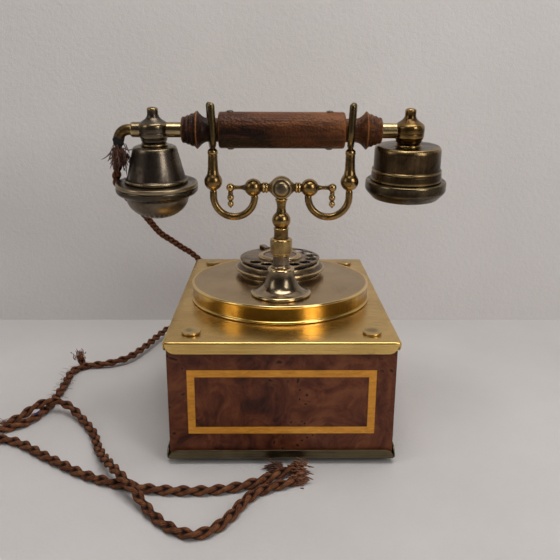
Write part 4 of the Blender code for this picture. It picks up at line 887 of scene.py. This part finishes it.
look, tree, shader, place = new_look("number_ivory", Roughness=0.5)
painted(tree, shader, ramp(tree, noise(tree, place, 900.0), (0.2, (0.42, 0.38, 0.30)),
                           (0.8, (0.60, 0.55, 0.45))))
number_ivory = look
digits = []
for step, degrees in enumerate(HOLE_ANGLES):
    angle = math.radians(degrees)
    letter = bpy.data.curves.new(f"digit_{step}", "FONT")
    letter.body = str(step)
    letter.size = 6.0 * MM
    letter.extrude = 0.05 * MM
    letter.align_x = letter.align_y = "CENTER"
    shaped = bpy.data.objects.new(f"digit_{step}", letter)
    bpy.context.scene.collection.objects.link(shaped)
    bpy.context.view_layer.update()
    mesh = bpy.data.meshes.new_from_object(shaped.evaluated_get(bpy.context.evaluated_depsgraph_get()))
    spot = (dial_middle.x + HOLE_CIRCLE * MM * math.cos(angle),
            dial_middle.y + HOLE_CIRCLE * MM * math.sin(angle), (NUMBER_PLATE_TOP + 0.02) * MM)
    mesh.transform(Matrix.Translation(spot) @ Matrix.Rotation(math.pi, 4, "Z"))
    bpy.data.objects.remove(shaped)
    digits.append(mesh)
work = bmesh.new()
for mesh in digits:
    work.from_mesh(mesh)
numbers = bpy.data.meshes.new("dial_numbers")
work.to_mesh(numbers)
work.free()
numbers.materials.clear()
numbers.materials.append(number_ivory)
dial_numbers = bpy.data.objects.new("dial_numbers", numbers)
bpy.context.scene.collection.objects.link(dial_numbers)
fit(dial_numbers, "base", "dial_card")

STOP_ANGLE = math.radians(116)


def arc_path(corners, bend, steps=7):
    """A path with straight runs between its corners, each corner rounded by a curve that starts a bend's
    length before it."""
    points = [np.array(corners[0], float)]
    for before, corner, after in zip(corners, corners[1:], corners[2:]):
        corner = np.array(corner, float)
        start = corner + unit(np.array(before) - corner) * bend
        end = corner + unit(np.array(after) - corner) * bend
        t = np.linspace(0.0, 1.0, steps)[:, None]
        points.extend((1 - t) ** 2 * start + 2 * t * (1 - t) * corner + t ** 2 * end)
    points.append(np.array(corners[-1], float))
    return np.array(points)


stop_line = arc_path([(39.6, 127.0), (39.6, 137.8), (26.2, 137.4)], 2.0)
stop_x = dial_middle.x / MM + stop_line[:, 0] * math.cos(STOP_ANGLE)
stop_y = dial_middle.y / MM + stop_line[:, 0] * math.sin(STOP_ANGLE)
stop_path = np.stack([stop_x, stop_y, stop_line[:, 1]], axis=-1) * MM
strip_angle = np.radians(np.arange(0, 360, 15))
strip_radius = (np.abs(np.cos(strip_angle) / 2.6) ** 6
                + np.abs(np.sin(strip_angle) / 0.75) ** 6) ** (-1 / 6) * MM
stop_level = (math.cos(STOP_ANGLE + math.pi / 2), math.sin(STOP_ANGLE + math.pi / 2), 0.0)
side, up = crossways(stop_path, stop_level)
strip = (stop_path[:, None] + up[:, None] * (strip_radius * np.cos(strip_angle))[None, :, None]
         - side[:, None] * (strip_radius * np.sin(strip_angle))[None, :, None])
stop = solid("finger_stop_strip", pinch(strip).reshape(-1, 3), tube_faces(len(strip) + 2, 24), dial_brass,
             sharp=50.0)
fit(stop, "base", "aged_brass", "finger_stop")

# ---------------------------------------------------------------------------
# Column: a bell-shaped foot screwed to the drum, a short tube above it and the
# collar nut that guides the sliding stem. Nickelled brass, worn to the yellow.
COLUMN = middle_of("column_tube")
column_place = Matrix.Translation((COLUMN.x, COLUMN.y, 0))
ROD_BORE = 3.6
nickel_brass = metal_look("nickel_brass", (0.13, 0.098, 0.064), (0.38, 0.29, 0.185), (0.60, 0.44, 0.23), 0.17,
                          cloud=70.0, wear=0.10)
grey_tube = metal_look("grey_tube", (0.09, 0.068, 0.046), (0.22, 0.165, 0.108), (0.45, 0.31, 0.14), 0.26,
                       wear=0.12)
BELL_LOW, BELL_TOP, BELL_BASE, BELL_THROAT = 120.1, 143.3, 25.6, 11.4
bell_turn = np.linspace(math.pi / 2, 0.0, 22)
bell = [(ROD_BORE, BELL_LOW), (25.2, BELL_LOW), (BELL_BASE, 120.7), (BELL_BASE, 121.6), (25.0, 122.3)]
bell += [(BELL_THROAT + (24.2 - BELL_THROAT) * (1 - math.cos(a)), BELL_TOP - 1.9 - 18.6 * math.sin(a) ** 0.9)
         for a in bell_turn]
bell += [(BELL_THROAT - 0.3, BELL_TOP - 1.1), (BELL_THROAT - 1.4, BELL_TOP - 0.3), (8.4, BELL_TOP),
         (ROD_BORE, BELL_TOP)]
fit(turned("bell_foot_turned", bell, column_place, nickel_brass, 128, 0.3, closed=True), "base",
    "grey_bronze", "bell_foot")
tube = [(ROD_BORE, 143.4), (8.2, 143.4), (8.3, 143.9), (7.9, 144.6), (7.0, 145.2), (6.8, 146.4), (6.8, 152.6),
        (7.3, 153.4), (7.3, 154.3), (ROD_BORE, 154.3)]
fit(turned("column_tube_turned", tube, column_place, grey_tube, 96, 0.3, closed=True), "base", "grey_bronze",
    "column_tube")
nut = [(6.3, 154.4), (8.2, 154.4), (9.1, 155.3), (9.2, 156.2), (9.2, 166.8),
       (8.9, 167.6), (7.9, 168.3), (6.3, 168.3)]
nut_brass = metal_look("nut_brass", (0.12, 0.075, 0.030), (0.28, 0.180, 0.068), (0.52, 0.35, 0.14), 0.29,
                       wear=0.10)
fit(turned("collar_nut_turned", nut, column_place, nut_brass, 96, 0.3, closed=True), "base", "grey_bronze",
    "collar_nut")

# ---------------------------------------------------------------------------
# Cradle: the stem slides in the column. On it sits the cross spindle with its
# balls and hanging beads, and from its side balls hang two U-shaped arms.
aged_brass = metal_look("aged_brass", (0.085, 0.050, 0.020), (0.30, 0.185, 0.066), (0.56, 0.375, 0.15), 0.24,
                        cloud=75.0, wear=0.10)


def ball(radius, centre, start, end, count=16):
    """Points up the right side of a ball, between two angles from its top, in degrees."""
    angles = np.radians(np.linspace(start, end, count))
    return [(radius * math.sin(a), centre + radius * math.cos(a)) for a in angles]


HUB = middle_of("cradle_hub")
HUB_Z, SIDE_BALL_X, BEAD_X = 210.4, 23.0, 41.6
hub_home = Matrix.Translation((HUB.x, COLUMN.y, HUB_Z * MM))
stem = [(0, 150.0), (5.95, 150.0), (5.95, 175.6), (6.6, 176.4), (6.3, 177.2)]
stem += ball(7.65, 183.5, 142, 33, 24)
stem += [(4.1, 190.8), (3.75, 193.0), (3.7, 195.6), (4.0, 197.8), (4.7, 199.6), (5.4, 200.8), (5.2, 201.4),
         (0, 201.6)]
fit(turned("cradle_stem_turned", stem, column_place, aged_brass, 96, 0.25), "cradle", "aged_brass",
    "cradle_stem")

spindle = ball(9.5, 0.0, 90, 35, 14)
spindle += [(4.7, 8.7), (3.3, 10.2), (3.2, 11.0), (4.3, 11.5), (4.5, 12.3), (4.2, 13.1), (3.6, 13.4),
            (4.2, 13.7), (4.5, 14.5), (4.2, 15.3), (3.3, 16.0)]
spindle += ball(7.3, SIDE_BALL_X, 152, 21, 24)
spindle += [(2.2, 30.6), (1.6, 32.6), (1.5, 35.4), (1.8, 38.2)] + ball(3.5, BEAD_X, 148, 0, 14)
spindle = [(r, -x) for r, x in reversed(spindle)] + spindle[1:]
sideways = Matrix.Rotation(math.pi / 2, 4, "Y")
fit(turned("cradle_spindle", spindle, hub_home @ sideways, aged_brass, 72, 0.2), "cradle", "aged_brass",
    "cradle_hub")
face = [(8.3, 0.0), (8.3, 5.8), (7.8, 6.9), (6.9, 7.4), (6.2, 7.2), (6.1, 8.0), (5.8, 9.0), (4.9, 10.0),
        (3.4, 10.6), (1.7, 10.9), (0, 11.0)]
face = [(r, -y) for r, y in reversed(face)] + face[1:]
boss_brass = metal_look("boss_brass", (0.055, 0.040, 0.026), (0.185, 0.140, 0.092), (0.38, 0.28, 0.14), 0.36)
boss = turned("hub_boss", face, hub_home @ Matrix.Rotation(-math.pi / 2, 4, "X"), boss_brass, 72, 0.2)
fit(boss, "cradle", "aged_brass")
drop = [(0, -16.9), (0.8, -16.5)] + ball(2.6, -13.4, 158, 33, 14)
drop += ball(2.85, -8.2, 148, 42, 14) + [(1.9, -5.8), (2.1, -4.9), (1.9, -4.0), (1.9, -1.4), (0, -1.0)]
for side_name, sign in (("left", -1), ("right", 1)):
    at = hub_home @ Matrix.Translation((sign * BEAD_X * MM, 0, 0))
    fit(turned(f"hanging_beads_{side_name}", drop, at, aged_brass, 48, 0.15), "cradle", "aged_brass")


def bent_rod(name, path, radius, level, look, around=28, tip=None):
    """A round rod along a path in millimetres. Each end closes in a half ball, or in the given length of
    one."""
    path = np.asarray(path, float)
    reach = reach_along(path)
    tip = tip or radius
    even = np.concatenate([tip * (1 - np.cos(np.linspace(0, math.pi / 2, 7))),
                           np.linspace(tip, reach[-1] - tip, max(int(reach[-1] / 1.2), 8))[1:-1],
                           reach[-1] - tip * (1 - np.cos(np.linspace(math.pi / 2, 0, 7)))])
    line = np.stack([np.interp(even, reach, path[:, axis]) for axis in range(3)], axis=1)
    short = np.clip(np.minimum(even, reach[-1] - even) / tip, 0.0, 1.0)
    size = radius * np.sqrt(np.maximum(1 - (1 - short) ** 2, 0.0))
    angle = np.linspace(0.0, 2 * math.pi, around, endpoint=False)
    sizes = np.repeat(size[:, None] * MM, around, 1)
    ring = rings(line * MM, level, np.broadcast_to(angle, (len(line), around)), sizes)
    return solid(name, ring.reshape(-1, 3), tube_faces(len(line), around), look, sharp=60.0)


ARM_X, ARM_Z, ARM_BEND, ARM_RADIUS = 38.7, 203.0, 16.8, 2.95
POST_X = ARM_X + ARM_BEND
HANDSET_Z = 256.2
FORK_BEND, FORK_TOP, FORK_RADIUS, FORK_LEAN, FORK_TWIST = 12.5, 279.2, 2.75, 1.4, 0.145
fork_brass = metal_look("fork_brass", (0.055, 0.038, 0.018), (0.15, 0.105, 0.045), (0.40, 0.29, 0.12), 0.26)
column_y = COLUMN.y / MM
post = [(0, 208.4), (2.4, 208.4), (3.6, 208.7)] + ball(7.35, 215.3, 150, 50, 20)
post += [(5.05, 221.0), (4.65, 222.4), (4.3, 224.6), (4.05, 228.0), (3.9, 232.0), (3.85, 236.4),
         (3.65, 237.0), (4.15, 237.5), (4.3, 238.4), (4.2, 239.6), (3.7, 240.6), (2.6, 241.7), (0, 242.2)]
for side_name, sign in (("left", -1), ("right", 1)):
    bend = np.radians(np.linspace(180, 360, 49))
    arm_path = [(sign * (ARM_X + ARM_BEND * math.cos(a)), column_y, ARM_Z + ARM_BEND * math.sin(a))
                for a in bend]
    arm_path += [(sign * POST_X, column_y, 209.5)]
    arm_path = [(sign * (ARM_X - ARM_BEND), column_y, 205.5)] + arm_path
    fit(bent_rod(f"arm_{side_name}_bent", arm_path, ARM_RADIUS, (0, 1, 0), aged_brass), "cradle",
        "aged_brass", f"arm_{side_name}")
    at = Matrix.Translation((sign * POST_X * MM, COLUMN.y, 0))
    fit(turned(f"post_{side_name}_turned", post, at, aged_brass, 72, 0.25), "cradle", "aged_brass",
        f"post_{side_name}")
    cup = np.radians(np.linspace(180, 360, 41))
    line = [(-FORK_BEND, FORK_TOP - 1.6)]
    line += [(FORK_BEND * math.cos(a), HANDSET_Z + FORK_BEND * math.sin(a)) for a in cup]
    line += [(FORK_BEND, FORK_TOP - 1.6)]
    low = HANDSET_Z - FORK_BEND
    fork_path = []
    for y, z in line:
        across = POST_X + FORK_LEAN * (z - low) / (FORK_TOP - low) + FORK_TWIST * y
        fork_path.append((sign * across, column_y + y, z))
    fit(bent_rod(f"fork_{side_name}_bent", fork_path, FORK_RADIUS, (1, 0, 0), fork_brass), "cradle",
        "aged_brass", f"fork_{side_name}")

# ---------------------------------------------------------------------------
# Handset bar: a stained wooden grip and two turned ends, threaded on a brass
# tube. The stain is rubbed through to orange on the ridges. The top is painted lighter, part wear and part
# painted highlight, and the right end is painted lighter as light from the right.
HANDSET_TILT = math.radians(5)
JOINT_X = 102.0
handset_home = (Matrix.Translation((0, COLUMN.y, HANDSET_Z * MM)) @ Matrix.Rotation(HANDSET_TILT, 4, "X"))
bar_place = handset_home @ sideways


def stained_look(name, dark, middle, bright, top_wear_and_highlight_share):
    """Dark stained wood: fine grain along X, orange where ridges are rubbed, the top painted lighter as wear
    and painted highlight, and the right end painted lighter and the left darker as painted light.
    """
    look, tree, shader, place = new_look(name, Roughness=0.36, Specular_IOR_Level=0.14)
    proud = add(tree, "Attribute", {"attribute_name": "proud"}).outputs["Fac"]
    grain_place = add(tree, "Mapping", Vector=place, Scale=(26.0, 240.0, 240.0)).outputs[0]
    grain = noise(tree, grain_place, 1.0, 6.0, 0.65, 0.8)
    clouds = noise(tree, place, 55.0, 4.0, 0.6)
    height = add(tree, "SeparateXYZ", Vector=place).outputs["Z"]
    # Painted highlight and wear: the colour grows lighter from a little below the bar's axis up to its top.
    top_wear_and_highlight = spread(tree, height, HANDSET_Z * MM - 0.004, HANDSET_Z * MM + 0.014, 0.0, top_wear_and_highlight_share)
    tone = calc(tree, "ADD", calc(tree, "MULTIPLY", grain, 0.7), calc(tree, "MULTIPLY", clouds, 0.3))
    along = add(tree, "SeparateXYZ", Vector=place).outputs["X"]
    tone = calc(tree, "ADD", tone, calc(tree, "MULTIPLY", top_wear_and_highlight, 0.5))
    # Painted light: the tone rises from left to right, so the right end is painted lighter and the left
    # darker, as light from the right falls.
    tone = calc(tree, "ADD", tone, spread(tree, along, -0.06, 0.05, -0.17, 0.10))
    colour = ramp(tree, tone, (0.38, dark), (0.60, middle), (0.95, bright))
    rub = calc(tree, "ADD", proud, calc(tree, "MULTIPLY", calc(tree, "SUBTRACT", clouds, 0.5), 0.5))
    colour = mixed(tree, spread(tree, rub, 0.24, 0.62), colour, bright)
    painted(tree, shader, colour)
    crinkle = add(tree, "TexVoronoi", Vector=place, Scale=480.0).outputs["Distance"]
    raised(tree, shader, calc(tree, "ADD", grain, calc(tree, "MULTIPLY", crinkle, 1.6)), 0.00034)
    return look


grip_wood = stained_look("grip_wood", (0.011, 0.0040, 0.0020), (0.084, 0.0255, 0.0080), (0.28, 0.100, 0.024),
                         0.42)
end_wood = stained_look("end_wood", (0.016, 0.0052, 0.0028), (0.062, 0.0195, 0.0072), (0.25, 0.092, 0.024),
                        0.20)
GRIP_RADIUS, GRIP_HALF, TUBE_BORE = 14.3, 50.2, 6.3
grip = [(TUBE_BORE, -GRIP_HALF), (12.6, -GRIP_HALF), (13.8, -49.8), (GRIP_RADIUS, -48.8),
        (GRIP_RADIUS - 0.05, -20.0), (GRIP_RADIUS - 0.05, 20.0), (GRIP_RADIUS, 48.8), (13.8, 49.8),
        (12.6, GRIP_HALF), (TUBE_BORE, GRIP_HALF)]
fit(turned("grip_turned", grip, bar_place, grip_wood, 120, 0.5, closed=True), "handset", "mahogany", "grip")
end = [(TUBE_BORE, 50.5), (9.3, 50.5), (9.3, 59.4), (9.9, 61.6), (11.2, 63.6), (13.0, 65.4), (14.7, 66.8),
       (15.0, 67.4), (14.6, 68.0), (13.2, 69.2), (12.7, 70.3), (12.9, 70.9), (12.6, 72.2), (11.7, 72.9),
       (11.3, 74.0), (11.6, 74.6), (11.2, 75.6), (10.4, 76.2), (10.2, 77.4), (10.4, 78.2), (9.9, 79.2),
       (9.0, 79.6), (TUBE_BORE, 79.6)]
for side_name, sign in (("left", -1), ("right", 1)):
    outline = end if sign > 0 else [(r, -x) for r, x in reversed(end)]
    fit(turned(f"grip_end_{side_name}_turned", outline, bar_place, end_wood, 96, 0.3, closed=True), "handset",
        "mahogany", f"grip_end_{side_name}")
pin_steel = metal_look("pin_steel", (0.010, 0.008, 0.007), (0.030, 0.025, 0.020), (0.12, 0.09, 0.06), 0.38)
pin = [(0, 13.4), (2.7, 13.4), (2.9, 14.0), (2.7, 14.9), (1.9, 15.3), (1.2, 15.1), (0, 15.1)]
for index, x in enumerate((-41.0, 38.0)):
    for end_name, flip in (("top", 0.0), ("bottom", math.pi)):
        at = handset_home @ Matrix.Rotation(flip, 4, "X") @ Matrix.Translation((x * MM, 0, 0))
        fit(turned(f"grip_pin_{end_name}_{index}", pin, at, pin_steel, 36, 0.2), "handset", "aged_brass")

tube_brass = metal_look("tube_brass", (0.12, 0.090, 0.055), (0.31, 0.235, 0.130), (0.56, 0.41, 0.20), 0.22,
                        cloud=90.0)
tube = [(0, -120.0), (5.2, -120.0), (5.9, -119.3), (6.0, -118.4), (6.0, 99.0), (5.4, 99.9), (0, 100.0)]
fit(turned("handset_tube_turned", tube, bar_place, tube_brass, 64, 0.4), "handset", "aged_brass",
    "handset_tube")
SPOUT_BEND = 8.5
spout_turn = np.radians(np.linspace(90, 172, 25))
spout_line = [(-119.0, 0.0)] + [(-121.8 + SPOUT_BEND * math.cos(a), SPOUT_BEND * (math.sin(a) - 1))
                                for a in spout_turn]
spout_points = [handset_home @ Vector((x * MM, 0, z * MM)) / MM for x, z in spout_line]
spout_brass = metal_look("spout_brass", (0.05, 0.030, 0.013), (0.20, 0.125, 0.045), (0.45, 0.30, 0.12), 0.33)
fit(bent_rod("cord_spout_bent", spout_points, 4.3, (0, 1, 0), spout_brass, 40, tip=1.2), "handset",
    "aged_brass", "cord_spout")

# ---------------------------------------------------------------------------
# Transmitter, at the left: a ball joint on the tube, a horn that hangs from it,
# a clamp ring and a domed mouthpiece whose holes are shallow dents filled with painted shade. Brass, plated
# pewter grey.
joint = [(0, -12.4), (10.4, -12.4), (10.8, -11.9), (10.7, -10.9), (9.9, -10.3), (9.2, -9.9), (9.5, -9.2),
         (10.3, -8.6), (10.5, -6.7), (11.2, -6.0), (11.8, -4.6), (12.0, -1.9), (11.75, -1.6), (11.75, -1.3),
         (12.05, -1.0), (12.05, 1.6), (11.8, 4.0), (11.0, 5.3), (9.9, 6.1), (8.2, 7.2), (6.4, 8.5),
         (5.1, 10.0), (4.5, 11.4), (4.35, 12.6), (4.4, 16.2), (3.8, 17.1), (2.2, 17.6), (0, 17.7)]
pewter = metal_look("pewter_plate", (0.045, 0.034, 0.025), (0.128, 0.101, 0.076), (0.26, 0.20, 0.115), 0.31,
                    cloud=55.0, wear=0.11, streaks=0.5)
joint_grey = metal_look("joint_grey", (0.040, 0.030, 0.022), (0.122, 0.096, 0.070), (0.36, 0.255, 0.115),
                        0.26, cloud=80.0, wear=0.11)
left_home = handset_home @ Matrix.Translation((-JOINT_X * MM, 0, 0))
fit(turned("transmitter_joint_turned", joint, left_home, joint_grey, 96, 0.25), "handset", "grey_bronze",
    "transmitter_joint")
horn = [(0, -14.8), (15.8, -15.0), (22.0, -38.0), (22.8, -41.4), (25.1, -41.4), (25.6, -40.6), (25.5, -39.2),
        (24.6, -38.5), (23.6, -38.0), (23.2, -36.6), (18.5, -18.0), (18.0, -15.6), (17.0, -13.5),
        (15.4, -12.75), (9.0, -12.6), (0, -12.6)]
fit(turned("transmitter_horn_spun", horn, left_home, pewter, 128, 0.5), "handset", "grey_bronze",
    "transmitter_horn")
ring_metal = metal_look("ring_metal", (0.055, 0.042, 0.030), (0.130, 0.100, 0.074), (0.30, 0.23, 0.14), 0.34,
                        cloud=60.0, wear=0.10)
black_metal = metal_look("black_metal", (0.010, 0.008, 0.007), (0.028, 0.022, 0.018), (0.12, 0.095, 0.065),
                         0.30, cloud=60.0, wear=0.14)
clamp = [(22.8, -45.2), (32.9, -45.2), (33.3, -45.0), (33.4, -44.0), (33.4, -43.0), (33.0, -42.3),
         (32.0, -41.9), (31.0, -41.8), (22.8, -41.8)]
fit(turned("transmitter_ring_lip", clamp, left_home, ring_metal, 144, 0.25, closed=True), "handset",
    "dark_bronze", "transmitter_ring")
clamp = [(22.8, -53.7), (26.0, -53.7), (27.6, -52.9), (31.6, -50.7), (33.0, -49.3), (33.4, -48.2),
         (33.4, -46.0), (33.0, -45.3), (22.8, -45.3)]
fit(turned("transmitter_ring_skirt", clamp, left_home, black_metal, 144, 0.4, closed=True), "handset",
    "dark_bronze")

DOME_RADIUS, DOME_DEPTH, DOME_TOP = 25.4, 17.8, -54.0
dome_turn = np.radians(np.linspace(90, 3, 84))
dome = np.array([(DOME_RADIUS * math.cos(a), DOME_TOP - DOME_DEPTH * math.sin(a)) for a in dome_turn])
dome_around = np.linspace(0.0, 2 * math.pi, 240, endpoint=False)
hole_spots = np.array([(0.0, 0.0)] + [(ring * 3.7 * math.cos(a + ring), ring * 3.7 * math.sin(a + ring))
                                      for ring in (1, 2, 3, 4, 5)
                                      for a in np.linspace(0, 2 * math.pi, 6 * ring, endpoint=False)])
flat_x = np.outer(dome[:, 0], np.cos(dome_around))
flat_y = np.outer(dome[:, 0], np.sin(dome_around))
off_x, off_y = flat_x[..., None] - hole_spots[:, 0], flat_y[..., None] - hole_spots[:, 1]
nearest = np.sqrt((off_x ** 2 + off_y ** 2).min(-1))
pierced = np.clip((1.25 - nearest) / 0.35, 0.0, 1.0)
sunk = dome[:, 1][:, None] + 1.3 * pierced
outer = np.stack([flat_x, flat_y, sunk], axis=-1)
lip_line = np.array([(25.4, -53.9), (23.6, -53.9), (23.4, -55.0), (0.0, -55.0)])
inner = np.stack([np.outer(lip_line[:, 0], np.cos(dome_around)),
                  np.outer(lip_line[:, 0], np.sin(dome_around)), np.repeat(lip_line[:, 1:], 240, 1)], axis=-1)
dome_rows = np.concatenate([outer, inner]) * MM
placed = dome_rows.reshape(-1, 3) @ np.array(left_home)[:3, :3].T + np.array(left_home)[:3, 3]
look, tree, shader, place = new_look("dome_metal", metallic=1.0)
painted_hole_shade = add(tree, "Attribute", {"attribute_name": "hole"}).outputs["Fac"]
clouds = noise(tree, place, 70.0, 6.0, 0.6)
tone = ramp(tree, clouds, (0.35, (0.080, 0.060, 0.042)), (0.62, (0.185, 0.142, 0.098)))
# Painted shade: the hole dents are mixed to near black, standing in for the dark inside of open holes.
painted(tree, shader, mixed(tree, painted_hole_shade, tone, (0.004, 0.003, 0.003)))
tree.links.new(spread(tree, clouds, 0.3, 0.7, 0.40, 0.28), shader.inputs["Roughness"])
raised(tree, shader, noise(tree, place, 700.0), 0.00004)
marks = {"hole": np.concatenate([pierced, np.zeros(inner.shape[:2])])}
mouthpiece = solid("mouthpiece_dented", placed, tube_faces(len(dome_rows), 240), look, marks, sharp=50.0)
fit(mouthpiece, "handset", "grey_bronze", "mouthpiece")

# ---------------------------------------------------------------------------
# Receiver, at the right: the same ball joint in bright brass, a stepped bronze
# cup and an ear cap with a sound hole.
right_home = handset_home @ Matrix.Translation((JOINT_X * MM, 0, 0))
gold_joint = metal_look("gold_joint", (0.040, 0.022, 0.009), (0.190, 0.112, 0.038), (0.44, 0.28, 0.10), 0.22,
                        cloud=90.0)
fit(turned("receiver_joint_turned", joint, right_home, gold_joint, 96, 0.25), "handset", "bright_brass",
    "receiver_joint")
cup_bronze = metal_look("cup_bronze", (0.032, 0.020, 0.010), (0.108, 0.068, 0.034), (0.38, 0.26, 0.11), 0.28,
                        cloud=55.0, wear=0.10, streaks=0.4)
cup = [(0, -13.4), (24.8, -13.4), (25.2, -30.0), (26.6, -39.2), (28.3, -39.2), (28.8, -38.6), (28.5, -36.0),
       (28.2, -33.0), (27.8, -32.2), (28.2, -31.6), (28.2, -30.6), (27.7, -30.0), (27.0, -29.6),
       (26.9, -28.8), (26.8, -15.2), (26.4, -13.4), (25.4, -12.0), (24.2, -11.6), (12.0, -11.4), (0, -11.4)]
fit(turned("receiver_cup_spun", cup, right_home, cup_bronze, 128, 0.3), "handset", "dark_bronze",
    "receiver_cup")
cap_bronze = metal_look("cap_bronze", (0.018, 0.013, 0.009), (0.046, 0.034, 0.023), (0.17, 0.125, 0.065),
                        0.29, cloud=55.0, wear=0.10)
cap = [(5.0, -50.6), (5.0, -52.0), (6.0, -52.4), (9.0, -52.6), (19.0, -53.9), (23.5, -54.7), (27.0, -53.8),
       (31.9, -48.4), (32.6, -47.2), (32.75, -46.2), (32.75, -41.0), (32.4, -40.0), (31.6, -39.5),
       (28.6, -39.3), (26.4, -39.3), (26.2, -46.0), (24.4, -50.4), (5.6, -50.4)]
fit(turned("receiver_cap_turned", cap, right_home, cap_bronze, 144, 0.3, closed=True), "handset",
    "dark_bronze", "receiver_cap")

# ---------------------------------------------------------------------------
# Glands: a turned brass bush in the rear panel for each cord. They keep the
# frame's own shapes and share the cradle's aged brass.
for node in ("handset_cord_gland", "line_cord_gland"):
    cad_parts[node].data.materials.clear()
    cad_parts[node].data.materials.append(aged_brass)

# ---------------------------------------------------------------------------
# Works inside the box and the handset: steel, bakelite and the two gongs. They
# keep the frame's own shapes.


def plain_look(name, low, high, roughness, metallic=0.0):
    """A plain finish, a little cloudy, with a fine grain."""
    look, tree, shader, place = new_look(name, metallic, Roughness=roughness)
    painted(tree, shader, ramp(tree, noise(tree, place, 90.0, 5.0), (0.35, low), (0.65, high)))
    raised(tree, shader, noise(tree, place, 900.0), 0.00005)
    return look


plain_steel = plain_look("plain_steel", (0.30, 0.30, 0.31), (0.50, 0.50, 0.50), 0.34, 1.0)
bakelite = plain_look("bakelite", (0.014, 0.010, 0.008), (0.034, 0.024, 0.018), 0.40)
gong_brass = plain_look("gong_brass", (0.42, 0.31, 0.14), (0.62, 0.47, 0.24), 0.28, 1.0)
INNER = {
    "plain_steel": (plain_steel, ("dial_shaft", "governor", "hook_lever", "ringer_frame", "clapper")),
    "bakelite": (bakelite, ("transmitter_capsule", "receiver_capsule", "hook_bracket", "terminal_board")),
    "satin_brass": (gong_brass, ("gong_left", "gong_right")),
}
for slot_name, (look, inner_nodes) in INNER.items():
    for node in inner_nodes:
        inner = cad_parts[node]
        inner.data.materials.clear()
        inner.data.materials.append(look)
